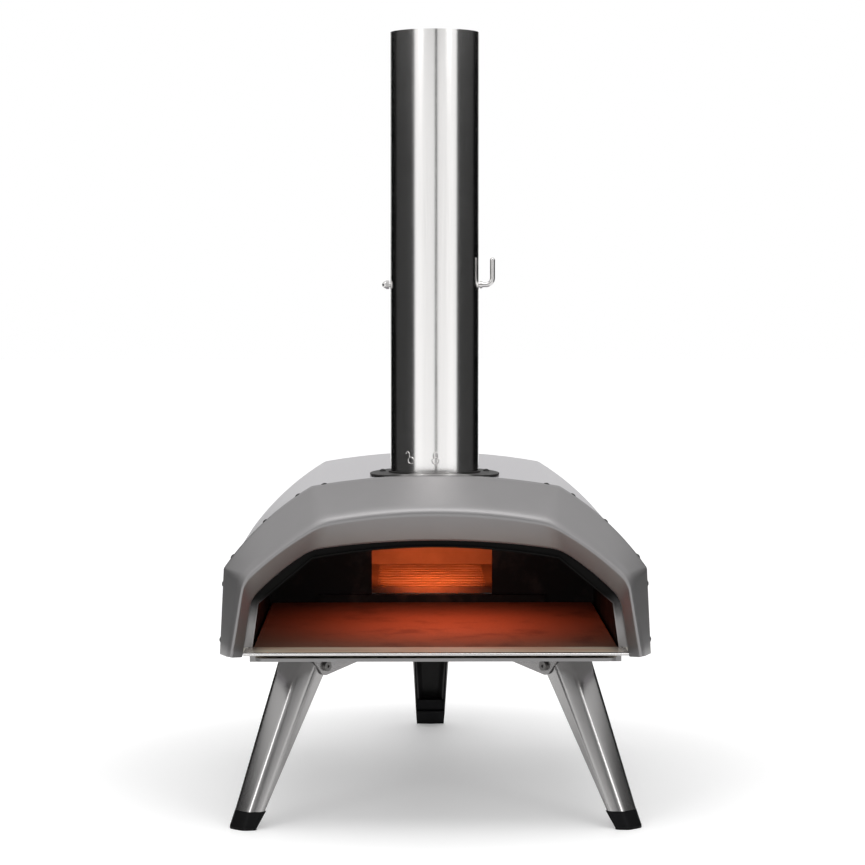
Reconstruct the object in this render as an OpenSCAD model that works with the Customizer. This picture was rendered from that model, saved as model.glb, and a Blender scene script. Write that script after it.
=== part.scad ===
// Portable wood fired pizza oven: an insulated steel vault over a baking stone,
// a twist-on chimney with a damper, a firebox at the back and three folding legs.
// Millimetres, +Z up, the mouth faces -Y, the floor is z = 0.

/* [Stone and body] */
// Width of the baking stone
stone_w = 338; // [280:1:420]
// Depth of the baking stone, front to back
stone_d = 338; // [280:1:420]
// Thickness of the baking stone
stone_t = 11; // [9:0.5:16]
// Room between the stone and the liner on each side
stone_gap = 4; // [3:0.5:8]
// Wall thickness, from the liner's inner face to the outside of the fascia
wall_t = 27; // [20:0.5:40]
// Thickness of the sheet steel
sheet_t = 1.2; // [1:0.1:1.6]
// Height of the body's foot above the floor
body_z = 156; // [125:1:200]
// Lean of each side from its foot to its shoulder
side_lean = 4; // [0.5:0.5:12]
// Height of the shoulders above the body's foot
shoulder_h = 81; // [66:0.5:100]
// Width of each slanted haunch, from shoulder to roof edge
haunch_run = 81; // [65:0.5:100]
// Height of each slanted haunch
haunch_rise = 75.5; // [60:0.5:95]
// Bulge of a haunch out from the straight line
haunch_bulge = 5.8; // [3:0.1:9]
// Radius of the soft bends at the shoulder and the roof's edge
bend_r = 12; // [6:0.5:20]
// Rise of the roof's crown over its edges
crown_rise = 10.2; // [5:0.1:14]

/* [Front fascia] */
// Depth of the fascia from its ridge to its rim
fascia_d = 45; // [40:0.5:55]
// Length of the rim that laps over the shell
fascia_rim = 7; // [5:0.5:12]
// Distance of the inner edge behind the ridge
inner_edge_y = 20; // [14:0.5:24]
// Depth of the flange that turns back at the inner edge
inner_flange = 7; // [4:0.5:9]
// Bend radius along the ridge
ridge_r = 6; // [3:0.5:8]
// Bend radius along the inner edge
edge_r = 2.5; // [1.5:0.5:4]
// Half length of the soft turn at a shoulder or a roof edge, along the ridge and the inner edge
corner_soft = 9; // [4:0.5:12]
// Half length of the same turn along the rim
rim_soft = 1.5; // [1:0.25:3]
// Gap between the rim and the shell under it
rim_gap = 0.5; // [0.4:0.05:0.9]
// Height of the fascia's foot over the body's: at the rim, the ridge and the inner edge
fascia_up = [1.2, 4.9, 2]; // [0:0.1:8]
// Ridge at the foot: in from the body's outline
ridge_foot = 11.5; // [8:0.5:16]
// Ridge at the shoulder: in from the body's outline, and down
ridge_shoulder = [19.5, 5.2]; // [0:0.1:30]
// Ridge at the roof edge: in from the body's outline, and down
ridge_roof = [11.2, 28.3]; // [0:0.1:40]
// Bulge of the ridge's haunch out from the straight line
ridge_bulge = 3.4; // [1:0.1:8]
// Rise of the ridge's crown
ridge_rise = 10.1; // [5:0.1:14]
// Inner edge at the foot: in from the body's outline
edge_foot = 20; // [18:0.5:24]
// Inner edge at the shoulder: in from the body's outline, and down
edge_shoulder = [24.5, 25.3]; // [0:0.1:40]
// Inner edge at the roof edge: in from the body's outline, and down
edge_roof = [0.2, 54.4]; // [0:0.1:60]
// Bulge of the inner edge's haunch out from the straight line
edge_bulge = 2.7; // [1:0.1:6]
// Rise of the inner edge's crown
edge_rise = 8.7; // [5:0.1:14]

/* [Mouth and sill] */
// Plane of the lip ring behind the ridge
lip_y = 33; // [31:0.5:36]
// Mouth at the foot: in from the liner's face
mouth_foot = 3; // [1:0.5:8]
// Mouth at the shoulder: in from the liner's face, and down from the body's
mouth_shoulder = [5, 30.7]; // [0:0.1:50]
// Mouth at the roof edge: in from the body's roof edge, and down
mouth_roof = [1.3, 64.5]; // [0:0.1:80]
// Rise of the mouth's crown
mouth_rise = 10.4; // [5:0.1:14]
// Depth of the curl round the mouth
lip_curl = 3; // [2:0.5:5]
// Height of the sill over the body's foot
sill_h = 9; // [8:0.5:12]
// Reach of the sill's nose in front of the ridge
sill_nose = 5; // [2:0.5:12]
// Depth of the sill behind the ridge
sill_d = 34.4; // [33.8:0.2:46]
// Radius of the sill's rolled nose
nose_r = 1.3; // [1.2:0.1:2.4]
// Drop of the stone's top below the sill
stone_drop = 1; // [0:0.5:3]
// Height of the ribs and the front step that carry the stone
rib_h = 2; // [0.6:0.2:3]

/* [Chimney] */
// Outside diameter of the chimney
chimney_d = 85; // [70:1:104]
// Wall of the chimney tube
tube_t = 1.2; // [0.8:0.1:2]
// Height of the chimney tube
chimney_h = 416.4; // [330:0.2:500]
// Distance of the chimney behind the ridge
chimney_y = 125; // [115:1:180]
// Width of the collar's flange round the chimney
collar_w = 19.5; // [15:0.5:28]
// Height of the seat over the roof's crown
seat_h = 2; // [1.8:0.1:4]
// Length of the sleeve inside the chimney
sleeve_up = 36; // [20:1:60]
// Height of the damper's rod over the chimney's foot
damper_up = 177.4; // [100:0.2:260]
// Diameter of the damper's rod
rod_d = 4.8; // [4:0.1:6]
// Room between the damper and the tube
damper_gap = 1.5; // [1:0.1:4]
// Reach of the rod's handle out from the tube
handle_out = 12.8; // [11:0.2:25]
// Height of the rod's handle over the rod
handle_up = 26; // [18:0.5:45]
// Bend radius of the rod
rod_bend = 6.5; // [5:0.5:10]

/* [Firebox] */
// Outside width of the firebox
firebox_w = 150; // [125:1:180]
// Length of the firebox behind the rear panel
firebox_d = 200; // [170:1:240]
// Height of the firebox
firebox_h = 140; // [120:1:142]
// Height of the firebox's rear wall
firebox_rear_h = 55; // [45:1:70]
// Length of the flat top behind the rear panel
firebox_top = 52; // [40:1:70]
// Distance of the flame port's sides in from the firebox's
port_in = 11; // [4:0.5:25]
// Height of the flame port's top edge over the stone
port_h = 108; // [80:1:112]
// Height of the fuel tray
tray_h = 20; // [14:0.5:24]
// Reach of the tray's handle
tray_reach = 50; // [35:1:70]
// Number of slots in the grate
grate_slots = 9; // [5:1:12]

/* [Legs] */
// Distance of a front pivot in from the body's side
front_pivot_in = 77.7; // [70:0.1:90]
// Distance of a front pivot behind the ridge
front_pivot_y = 80; // [75:0.5:110]
// Distance of the rear pivot behind the rear panel
rear_pivot_y = 64; // [50:0.5:100]
// Turn of a front leg out from straight ahead
leg_turn = 40; // [36:0.5:46]
// Drop of a pivot below the pan
pivot_drop = 6.8; // [6.5:0.1:8]
// Web's reach out from the pivot: at the pivot's level, and at the floor
web_reach = [26, 96]; // [20:0.5:118]
// Width of the web: at the pivot's level, and at the floor
web_w = [25.5, 16]; // [14:0.5:32]
// Run of a leg's slanted side across the web: at the pivot, and at the floor
slant_w = [10.75, 7.5]; // [3:0.25:14]
// Depth of a leg's slanted side: at the pivot, and at the floor
slant_d = [12.5, 8]; // [6:0.5:20]
// Depth of a leg's straight flange: at the pivot, and at the floor
flange_d = [18, 3]; // [1:0.5:18]
// Thickness of the leg's sheet
leg_t = 1.5; // [1:0.1:2]
// Outer bend radius of the leg's web
leg_bend = 3.5; // [2:0.5:6]
// Height of a foot
foot_h = 16; // [12:0.5:24]
// Diameter of a pivot bolt
bolt_d = 5; // [4:0.1:6]

/* [Hidden] */
$fn = 64;
arc_fn = 360;

// Clearances: sheets that lap, pieces that lie loose, running bores, moving bodies
lap = 0.1;
loose = 0.6;
running = 0.05;
apart = 0.3;

// Colours
steel_c = "#b9b9bd";
fascia_c = "#8d8c90";
dark_c = "#3a3634";
black_c = "#1c1c1e";
stone_c = "#c9b59b";
wool_c = "#e6e1d3";

// Body outline: foot, shoulder and roof edge of the right half, and the crown
liner_half = stone_w / 2 + stone_gap;
body_half = liner_half + wall_t;
shoulder = [body_half - side_lean, body_z + shoulder_h];
roof_edge = shoulder + [-haunch_run, haunch_rise];
crown_z = roof_edge.y + crown_rise;
roof_r = (roof_edge.x ^ 2 + crown_rise ^ 2) / (2 * crown_rise);
haunch_l = norm(roof_edge - shoulder);
haunch_r = (haunch_l ^ 2 / 4 + haunch_bulge ^ 2) / (2 * haunch_bulge);
haunch_out = [haunch_rise, haunch_run] / haunch_l;
haunch_c = (shoulder + roof_edge) / 2 - haunch_out * (haunch_r - haunch_bulge);
lean_a = atan(side_lean / shoulder_h);

// Centres of the soft bends at the shoulder and at the roof's edge
side_n = [cos(lean_a), sin(lean_a)];
side_u = [-sin(lean_a), cos(lean_a)];
bend_from = shoulder - side_n * bend_r - haunch_c;
bend_along = bend_from * side_u;
bend_up = sqrt(bend_along ^ 2 - bend_from * bend_from + (haunch_r - bend_r) ^ 2) - bend_along;
shoulder_bend = shoulder - side_n * bend_r + side_u * bend_up;
roof_c = [0, crown_z - roof_r];
bend_base = norm(roof_c - haunch_c);
bend_toward = (roof_c - haunch_c) / bend_base;
bend_at = ((haunch_r - bend_r) ^ 2 - (roof_r - bend_r) ^ 2 + bend_base ^ 2) / (2 * bend_base);
bend_off = sqrt((haunch_r - bend_r) ^ 2 - bend_at ^ 2);
roof_bend = haunch_c + bend_toward * bend_at + [-bend_toward.y, bend_toward.x] * bend_off;

// Insets of the wall's layers from the body outline
shell_in = sheet_t + rim_gap;
shell_face = shell_in + sheet_t;
liner_out = wall_t - sheet_t;

// Places along the depth, from the ridge
shell_y = fascia_d + 1;
stone_front = 0.8;
stone_back = 2.5;
liner_y = lip_y + sheet_t + lap;
stone_y = sill_d + stone_front;
guard_y = stone_y + stone_d + stone_back;
guard_d = 9;
back_y = guard_y + guard_d + apart;
back_gap = 35;
rear_y = back_y + back_gap;
firebox_y = back_y + sheet_t + lap;
firebox_end = rear_y + firebox_d;
tray_face_y = firebox_end + apart;
end_y = tray_face_y + sheet_t + tray_reach;
mid_y = (end_y - sill_nose) / 2;

// Heights
sill_z = body_z + sill_h;
stone_z = sill_z - stone_drop - stone_t;
pan_z = stone_z - rib_h - sheet_t;
pan_floor = pan_z + sheet_t;
flange_z = body_z + sheet_t;
vault_z = flange_z + sheet_t;
guard_up = 7.5;
guard_z = stone_z + stone_t + guard_up;
pan_half = liner_half - sheet_t - loose;
pan_lip_up = 4;
pan_lip_z = body_z + pan_lip_up;
firebox_z = pan_z;
firebox_top_z = firebox_z + firebox_h;
port_w = firebox_w - 2 * port_in;

module stand() {
  translate([0, -mid_y, 0]) children();
}

// A flat outline in x and z, drawn out along the depth from y0 to y1
module along_y(y0, y1) {
  translate([0, y1, 0]) rotate([90, 0, 0]) linear_extrude(y1 - y0) children();
}

// A flat outline in y and z, drawn out across the width from x0 to x1
module along_x(x0, x1) {
  translate([x0, 0, 0]) rotate([90, 0, 90]) linear_extrude(x1 - x0) children();
}

module both_sides() {
  children();
  mirror([1, 0, 0]) children();
}

// A box between two corners
module block(low, high) {
  translate(low) cube(high - low);
}

// A cylinder along x from x0 to x1, at y and z
module bar_x(x0, x1, y, z, r) {
  translate([x0, y, z]) rotate([0, 90, 0]) cylinder(h = x1 - x0, r = r);
}

// Body section: the outline of the vault, set in by a layer's inset

function side_x(z, inset) = body_half - (z - body_z) * tan(lean_a) - inset / cos(lean_a);

module haunch_corner(inset) {
  difference() {
    translate(haunch_c) square(2 * haunch_r);
    translate(haunch_c) circle(haunch_r - inset, $fn = arc_fn);
  }
}

function unit(v) = v / norm(v);

// What a bend of radius r takes off a corner, between its two outward directions
module soft_corner(centre, from, to, r) {
  reach = bend_r + 2;
  difference() {
    translate(centre) polygon([[0, 0], from * reach, (from + to) * reach * 0.75, to * reach]);
    translate(centre) circle(r, $fn = arc_fn);
  }
}

module body_section(inset, foot_z) {
  top_z = crown_z + 1;
  difference() {
    intersection() {
      polygon([for (s = [1, -1], z = s > 0 ? [foot_z, top_z] : [top_z, foot_z]) [s * side_x(z, inset), z]]);
      translate(roof_c) circle(roof_r - inset, $fn = arc_fn);
    }
    both_sides() {
      haunch_corner(inset);
      if (inset < bend_r - 2) {
        soft_corner(shoulder_bend, side_n, unit(shoulder_bend - haunch_c), bend_r - inset);
        soft_corner(roof_bend, unit(roof_bend - haunch_c), unit(roof_bend - roof_c), bend_r - inset);
      }
    }
  }
}

// A bent sheet of the section, open at the foot, between two insets
module vault_section(outer, inner, foot_z) {
  difference() {
    body_section(outer, foot_z);
    body_section(inner, foot_z - 1);
  }
}

// Mouth outline, grown by a sheet's thickness where the curl needs it
module mouth_section(grow, foot_z) {
  foot_x = liner_half - mouth_foot + grow;
  turn = [liner_half - side_lean - mouth_shoulder.x + grow, shoulder.y - mouth_shoulder.y + grow / 2];
  edge = [roof_edge.x - mouth_roof.x + grow / 2, roof_edge.y - mouth_roof.y + grow];
  past = lerp(turn, edge, 1.5);
  r = (edge.x ^ 2 + mouth_rise ^ 2) / (2 * mouth_rise);
  intersection() {
    polygon([[-foot_x, foot_z], [foot_x, foot_z], turn, past, [-past.x, past.y], [-turn.x, turn.y]]);
    translate([0, edge.y + mouth_rise - r]) circle(r, $fn = arc_fn);
  }
}

// Fascia: a sheet lofted through three outlines, body, ridge and inner edge

function lerp(a, b, t) = a + (b - a) * t;
function quad(a, v, b, t) = lerp(lerp(a, v, t), lerp(v, b, t), t);

// Point at t of the arc from a to b that bulges outwards by h
function arc_point(a, b, h, t) =
  let (l = norm(b - a), u = (b - a) / l, n = [u.y, -u.x], r = (l ^ 2 / 4 + h ^ 2) / (2 * h),
    turn = (2 * t - 1) * asin(l / 2 / r))
  (a + b) / 2 + u * r * sin(turn) + n * (r * cos(turn) - r + h);

// Right half of an outline from its foot to its crown, with soft corners
function half_outline(foot, turn, edge, bulge, rise, soft) =
  let (top = [0, edge.y + rise], l = norm(edge - turn), k = soft / l,
    low = lerp(turn, foot, soft / norm(turn - foot)), over = arc_point(turn, edge, bulge, k),
    under = arc_point(turn, edge, bulge, 1 - k), r = (edge.x ^ 2 + rise ^ 2) / (2 * rise),
    roof = function(t) let (x = lerp(edge.x - soft, 0, t)) [x, top.y - r + sqrt(r ^ 2 - x ^ 2)])
  concat([foot, lerp(foot, low, 0.5)], [for (t = [0:0.25:1]) quad(low, turn, over, t)],
    [for (t = [0.2:0.2:0.8]) arc_point(turn, edge, bulge, lerp(k, 1 - k, t))],
    [for (t = [0:0.25:1]) quad(under, edge, roof(0), t)], [for (t = [0.2:0.2:1]) roof(t)]);

function mirrored(half) =
  concat(half, [for (i = [len(half) - 2:-1:0]) [-half[i].x, half[i].y]]);

back_outline = mirrored(half_outline([body_half, body_z + fascia_up[0]], shoulder, roof_edge,
  haunch_bulge, crown_rise, rim_soft));
ridge_outline = mirrored(half_outline([body_half - ridge_foot, body_z + fascia_up[1]],
  shoulder - ridge_shoulder, roof_edge - ridge_roof, ridge_bulge, ridge_rise, corner_soft));
edge_outline = mirrored(half_outline([body_half - edge_foot, body_z + fascia_up[2]],
  shoulder - edge_shoulder, roof_edge - edge_roof, edge_bulge, edge_rise, corner_soft));

// Profile of the sheet at one station: points [in, y] along its face, then back along its hidden side
function turn_points(a, v, b, r, steps) =
  let (p = lerp(v, a, r / norm(a - v)), q = lerp(v, b, r / norm(b - v)))
  [for (i = [0:steps]) quad(p, v, q, i / steps)];

function left_of(u) = [-u.y, u.x] / norm(u);

// Moves each point of an open path sideways by t
function side_path(path, t) = [for (i = [0:len(path) - 1])
  let (u = path[i] - path[max(i - 1, 0)], v = path[min(i + 1, len(path) - 1)] - path[i],
    n = i == 0 ? left_of(v) : i == len(path) - 1 ? left_of(u) : (left_of(u) + left_of(v)) / 2)
  path[i] + n * t / max(norm(n) ^ 2, 0.3)];

// The ridge's corner stands in front of its rounded face by this share of the bend
ridge_peak = 0.36;
rim_bend = 3;

function sheet_profile(ridge_in, edge_in) =
  let (rim = [0, fascia_d + fascia_rim], back = [0, fascia_d], ridge = [ridge_in, -ridge_peak * ridge_r],
    edge = [edge_in, inner_edge_y], end = [edge_in, inner_edge_y + inner_flange],
    face = concat([rim], turn_points(rim, back, ridge, rim_bend, 2),
      turn_points(back, ridge, edge, ridge_r, 6), turn_points(ridge, edge, end, edge_r, 3), [end]),
    hidden = side_path(face, sheet_t))
  concat(face, [for (i = [len(hidden) - 1:-1:0]) hidden[i]]);

// The sheet at a station runs in from the back outline through the ridge to the inner edge
function station(i) =
  let (b = back_outline[i], r = ridge_outline[i], e = edge_outline[i], l = norm(r - b),
    m = norm(e - r), profile = sheet_profile(l, l + m))
  [for (p = profile)
    let (q = p.x <= l ? lerp(b, r, p.x / l) : lerp(r, e, (p.x - l) / m)) [q.x, p.y, q.y]];

module front_frame() {
  rings = [for (i = [0:len(back_outline) - 1]) station(i)];
  n = len(rings[0]);
  last = len(rings) - 1;
  points = [for (ring = rings) each ring];
  walls = [for (i = [0:last - 1], j = [0:n - 1])
    let (a = i * n + j, b = i * n + (j + 1) % n) each [[a, b, b + n], [a, b + n, a + n]]];
  strip = [for (j = [0:n / 2 - 2]) each [[j, j + 1, n - 2 - j], [j, n - 2 - j, n - 1 - j]]];
  caps = [for (t = strip) each [[t[2], t[1], t[0]], [for (k = t) last * n + k]]];
  color(fascia_c) polyhedron(points, concat(walls, caps), convexity = 6);
}

// Body sheets and what they hold

module flue_hole(r) {
  translate([0, chimney_y, crown_z - 2 * wall_t]) cylinder(h = 3 * wall_t, r = r);
}

module outer_shell() {
  inner_x = pan_half + sheet_t + apart;
  color(steel_c) difference() {
    along_y(shell_y, rear_y) union() {
      vault_section(shell_in, shell_face, body_z);
      intersection() {
        body_section(shell_in, body_z);
        both_sides() translate([inner_x, body_z]) square([wall_t, sheet_t]);
      }
    }
    flue_hole(sleeve_r + lap);
  }
}

module inner_liner() {
  color(dark_c) difference() {
    along_y(liner_y, back_y) vault_section(liner_out, wall_t, vault_z);
    flue_hole(sleeve_r + lap);
  }
}

module insulation_blanket() {
  color(wool_c) difference() {
    along_y(shell_y, back_y) vault_section(shell_face + apart, liner_out - apart, vault_z + lap);
    flue_hole(sleeve_r + apart);
  }
}

lip_cover = 11;

module mouth_lip() {
  foot_z = sill_z + lap;
  color(fascia_c) difference() {
    union() {
      along_y(lip_y, lip_y + sheet_t) body_section(lip_cover, foot_z);
      along_y(lip_y - lip_curl, lip_y + sheet_t / 2) mouth_section(sheet_t, foot_z);
    }
    along_y(lip_y - 2 * lip_curl, lip_y + 2 * sheet_t) mouth_section(0, foot_z - 1);
  }
}

sill_over = 3;
sill_half = liner_half + sill_over;
sill_rest_y = stone_y - 2 * sheet_t - loose;

module sill_plate() {
  nose_y = nose_r - sill_nose;
  step_y = lip_y - lip_curl - 1;
  rear_half = liner_half - 0.5;
  color(steel_c) {
    along_x(-sill_half, sill_half) {
      translate([nose_y, sill_z - nose_r]) circle(nose_r);
      translate([nose_y, sill_z - sheet_t]) square([step_y - nose_y, sheet_t]);
    }
    along_x(-rear_half, rear_half) {
      translate([step_y - 1, sill_z - sheet_t]) square([sill_d - step_y + 1, sheet_t]);
      translate([sill_rest_y - sheet_t, pan_lip_z]) square([sheet_t, sill_z - pan_lip_z]);
    }
  }
}

pan_lip_in = 7;
pan_lip_half = liner_half - pan_lip_in;
pan_flange = 18;
pan_corner = 10;

// The pan's front lip in plan, with round front corners
module pan_lip_plan() {
  front = 2 - sill_nose;
  x = pan_lip_half - pan_corner;
  l = sill_rest_y + sheet_t - front;
  translate([-x, front]) square([2 * x, l]);
  translate([-pan_lip_half, front + pan_corner]) square([2 * pan_lip_half, l - pan_corner]);
  both_sides() translate([x, front + pan_corner]) circle(pan_corner);
}

// A deep tray under the stone, with ribs and a raised step at the front that carry it
module base_pan() {
  wall_y = sill_rest_y + sheet_t;
  step_y = wall_y + 12;
  step_z = stone_z - sheet_t;
  out = pan_half + sheet_t;
  rear = rear_y - sheet_t - lap;
  rib_w = 12;
  lip_drop = 3;
  color(steel_c) {
    difference() {
      block([-out, wall_y - sheet_t, pan_z], [out, back_y, vault_z]);
      block([-pan_half, wall_y, pan_floor], [pan_half, back_y - sheet_t, vault_z + 1]);
      block([-out - 1, 0, pan_z - 1], [out + 1, step_y, step_z]);
    }
    block([-out, wall_y - sheet_t, step_z], [out, step_y, stone_z]);
    block([-out, step_y, pan_z], [out, step_y + sheet_t, stone_z]);
    for (x = [-1, 0, 1] * stone_w / 3)
      block([x - rib_w / 2, step_y, pan_floor - 0.5], [x + rib_w / 2, guard_y - 4, stone_z]);
    both_sides() block([out - 0.5, shell_y, flange_z], [out + pan_flange, rear, vault_z]);
    difference() {
      block([-out, back_y - 0.5, flange_z], [out, rear, vault_z]);
      block([-firebox_w / 2 - loose, back_y, 0], [firebox_w / 2 + loose, rear + 1, crown_z]);
    }
    difference() {
      translate([0, 0, pan_lip_z - lip_drop]) linear_extrude(lip_drop) pan_lip_plan();
      translate([0, sheet_t, pan_lip_z - lip_drop - 1]) linear_extrude(lip_drop + 1 - sheet_t)
        intersection() {
          pan_lip_plan();
          translate([sheet_t - pan_lip_half, 0]) square([2 * (pan_lip_half - sheet_t), sill_d]);
        }
    }
    block([-pan_lip_half, wall_y - sheet_t, step_z], [pan_lip_half, wall_y, pan_lip_z]);
  }
}

module baking_stone() {
  corner = 6;
  color(stone_c) translate([-stone_w / 2, stone_y, stone_z]) linear_extrude(stone_t) {
    translate([corner, 0]) square([stone_w - 2 * corner, stone_d]);
    translate([0, corner]) square([stone_w, stone_d - 2 * corner]);
    for (x = [corner, stone_w - corner], y = [corner, stone_d - corner])
      translate([x, y]) circle(corner);
  }
}

// A low folded strip that stands between the stone and the flame port
module flame_guard() {
  half = port_w / 2 + 56;
  color(dark_c) along_x(-half, half) {
    translate([guard_y, pan_floor]) square([sheet_t, guard_z - pan_floor]);
    translate([guard_y, guard_z - sheet_t]) square([guard_d, sheet_t]);
  }
}

module chamber_back() {
  port_top = stone_z + stone_t + port_h;
  color(dark_c) along_y(back_y, back_y + sheet_t) difference() {
    body_section(liner_out, vault_z + lap);
    translate([-port_w / 2, guard_z]) square([port_w, port_top - guard_z]);
  }
}

panel_rim = 12;

module firebox_hole() {
  translate([-firebox_w / 2 - loose, 0]) square([firebox_w + 2 * loose, firebox_top_z + loose]);
}

module rear_insulation() {
  color(wool_c) along_y(firebox_y, rear_y - sheet_t - apart) difference() {
    body_section(shell_face + lap + sheet_t + apart, vault_z + lap);
    firebox_hole();
  }
}

module rear_panel() {
  panel_in = shell_face + lap;
  color(steel_c) {
    along_y(rear_y - sheet_t, rear_y) difference() {
      body_section(panel_in, flange_z);
      firebox_hole();
    }
    along_y(rear_y - panel_rim, rear_y - sheet_t / 2)
      vault_section(panel_in, panel_in + sheet_t, vault_z + lap);
  }
}

// Firebox: a bent casing with a sloped mouth, its grate, tray and hatch

firebox_in = firebox_w / 2 - sheet_t;
hatch_y = rear_y + firebox_top;
rear_wall_z = firebox_z + firebox_rear_h;
slope_a = atan((firebox_top_z - rear_wall_z) / (firebox_end - hatch_y));
slope_l = norm([firebox_end - hatch_y, firebox_top_z - rear_wall_z]);
pin_r = 2.5;
knuckle_r = 4.5;
pin_up = 5.5;
knuckles = [for (inset = [45, 20, 5]) firebox_w / 2 - inset];
knuckle_gap = 0.4;
tray_gap = 1;
tray_in = 9;
tray_half = firebox_in - tray_in;
tray_z = firebox_z + sheet_t + apart;
tray_top = tray_z + tray_h;

module firebox_casing() {
  flange = 15;
  floor_z = firebox_z + sheet_t;
  color(steel_c) difference() {
    union() {
      difference() {
        along_x(-firebox_w / 2, firebox_w / 2) polygon([[firebox_y, firebox_z], [firebox_end, firebox_z],
          [firebox_end, rear_wall_z], [hatch_y, firebox_top_z], [firebox_y, firebox_top_z]]);
        block([-firebox_in, firebox_y - 1, floor_z], [firebox_in, hatch_y, firebox_top_z - sheet_t]);
        block([-firebox_in, hatch_y - 1, floor_z], [firebox_in, firebox_end - sheet_t, firebox_top_z]);
      }
      along_y(rear_y + lap, rear_y + lap + sheet_t) difference() {
        translate([-firebox_w / 2 - flange, vault_z])
          square([firebox_w + 2 * flange, firebox_top_z - vault_z + flange]);
        translate([sheet_t / 2 - firebox_w / 2, 0])
          square([firebox_w - sheet_t, firebox_top_z - sheet_t / 2]);
      }
      both_sides() casing_knuckle(knuckles[1] + knuckle_gap, knuckles[2]);
      casing_knuckle(knuckle_gap - knuckles[0], knuckles[0] - knuckle_gap);
    }
    hinge_bore();
    block([-tray_half - tray_gap, firebox_end - 2 * sheet_t, floor_z],
      [tray_half + tray_gap, firebox_end + 1, tray_top + tray_gap]);
  }
}

module casing_knuckle(x0, x1) {
  bar_x(x0, x1, hatch_y, firebox_top_z + pin_up, knuckle_r);
  block([x0, hatch_y - knuckle_r, firebox_top_z - sheet_t / 2], [x1, hatch_y, firebox_top_z + pin_up]);
}

module hinge_bore() {
  bar_x(-firebox_w, firebox_w, hatch_y, firebox_top_z + pin_up, pin_r + running);
}

module hatch_hinge_pin() {
  head = 2;
  play = 0.5;
  end = knuckles[2] + play + head;
  color(steel_c) {
    bar_x(-end, end, hatch_y, firebox_top_z + pin_up, pin_r);
    bar_x(-end, -knuckles[2] - play, hatch_y, firebox_top_z + pin_up, knuckle_r);
    bar_x(knuckles[2] + play, end, hatch_y, firebox_top_z + pin_up, knuckle_r);
  }
}

// Frame on the slope: y runs down the slope from the hinge edge, z stands square to it
module on_slope() {
  translate([0, hatch_y, firebox_top_z]) rotate([-slope_a, 0, 0]) children();
}

hatch_over = 4;
hatch_half = firebox_w / 2 + hatch_over;
hatch_skirt = 8;
hatch_t = 1.5;
hatch_end = slope_l + hatch_over + 0.2;
grip_edge = 54.6;
grip_y = slope_l - grip_edge;
grip_in = 20;
grip_half = firebox_w / 2 - grip_in;
post_in = 15;
post_x = grip_half - post_in;
post_r = 4;
grip_r = 8;
post_l = 30;

module fuel_hatch() {
  pin = [-pin_up * sin(slope_a), pin_up * cos(slope_a)];
  lid_y = 6;
  color(steel_c) difference() {
    union() {
      on_slope() {
        block([-hatch_half, lid_y, apart], [hatch_half, hatch_end, apart + hatch_t]);
        both_sides() {
          block([hatch_half - hatch_t, lid_y + hatch_over, -hatch_skirt],
            [hatch_half, slope_l - hatch_over, apart + hatch_t]);
          block([knuckles[0], pin.x, apart], [knuckles[1], lid_y + 1, apart + hatch_t]);
          bar_x(knuckles[0], knuckles[1], pin.x, pin.y, knuckle_r);
        }
        block([-hatch_half, hatch_end - hatch_t, -hatch_t], [hatch_half, hatch_end, apart + hatch_t]);
      }
    }
    hinge_bore();
  }
}

module hatch_handle_posts() {
  base = apart + hatch_t;
  color(steel_c) on_slope() both_sides() translate([post_x, grip_y, base]) {
    cylinder(h = 2, r = 2 * post_r);
    cylinder(h = post_l, r = post_r);
  }
}

module hatch_handle() {
  z = apart + hatch_t + post_l;
  color(black_c) on_slope() difference() {
    union() {
      bar_x(-grip_half, grip_half, grip_y, z, grip_r);
      both_sides() translate([grip_half, grip_y, z]) sphere(grip_r);
    }
    both_sides() translate([post_x, grip_y, z - 2 * grip_r])
      cylinder(h = 2 * grip_r + lap, r = post_r + running);
  }
}

rail_w = 8;
rail_t = 2;
rail_z = tray_top + 2 * tray_gap;

module grate_rails() {
  color(dark_c) both_sides()
    block([firebox_in - rail_w, firebox_y + 6, rail_z], [firebox_in - lap, firebox_end - 8, rail_z + rail_t]);
}

module fuel_grate() {
  half = firebox_in - 1;
  y0 = firebox_y + 4;
  y1 = firebox_end - 5;
  pitch = (y1 - y0) / (grate_slots + 0.5);
  slot_w = pitch * 0.5;
  slot_half = half - rail_w - slot_w;
  grate_t = 2.5;
  fold = rail_t + 2 * tray_gap + lap - loose;
  color(dark_c) translate([0, 0, rail_z + rail_t + lap]) {
    linear_extrude(grate_t) difference() {
      translate([-half, y0]) square([2 * half, y1 - y0]);
      for (i = [0:grate_slots - 1]) translate([0, y0 + pitch * (i + 0.75)]) {
        translate([-slot_half, -slot_w / 2]) square([2 * slot_half, slot_w]);
        both_sides() translate([slot_half, 0]) circle(slot_w / 2);
      }
    }
    block([rail_w + loose - firebox_in, y0, -fold], [firebox_in - rail_w - loose, y0 + grate_t, grate_t / 2]);
  }
}

vent_d = 8;
vent_pitch = 11;

module fuel_tray() {
  y0 = firebox_y + 5;
  face_half = tray_half + 7;
  color(steel_c) {
    difference() {
      block([-tray_half, y0, tray_z], [tray_half, tray_face_y + sheet_t / 2, tray_top]);
      block([sheet_t - tray_half, y0 + sheet_t, tray_z + sheet_t],
        [tray_half - sheet_t, tray_face_y, tray_top + 1]);
      vent_holes();
    }
    difference() {
      block([-face_half, tray_face_y, tray_z - sheet_t], [face_half, tray_face_y + sheet_t, tray_top + 5]);
      vent_holes();
    }
  }
}

module vent_holes() {
  for (x = [-2, -1, 0, 1, 2] * vent_pitch)
    translate([x, tray_face_y - 1, tray_z + tray_h / 2]) rotate([-90, 0, 0]) cylinder(h = 4, r = vent_d / 2);
}

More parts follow.
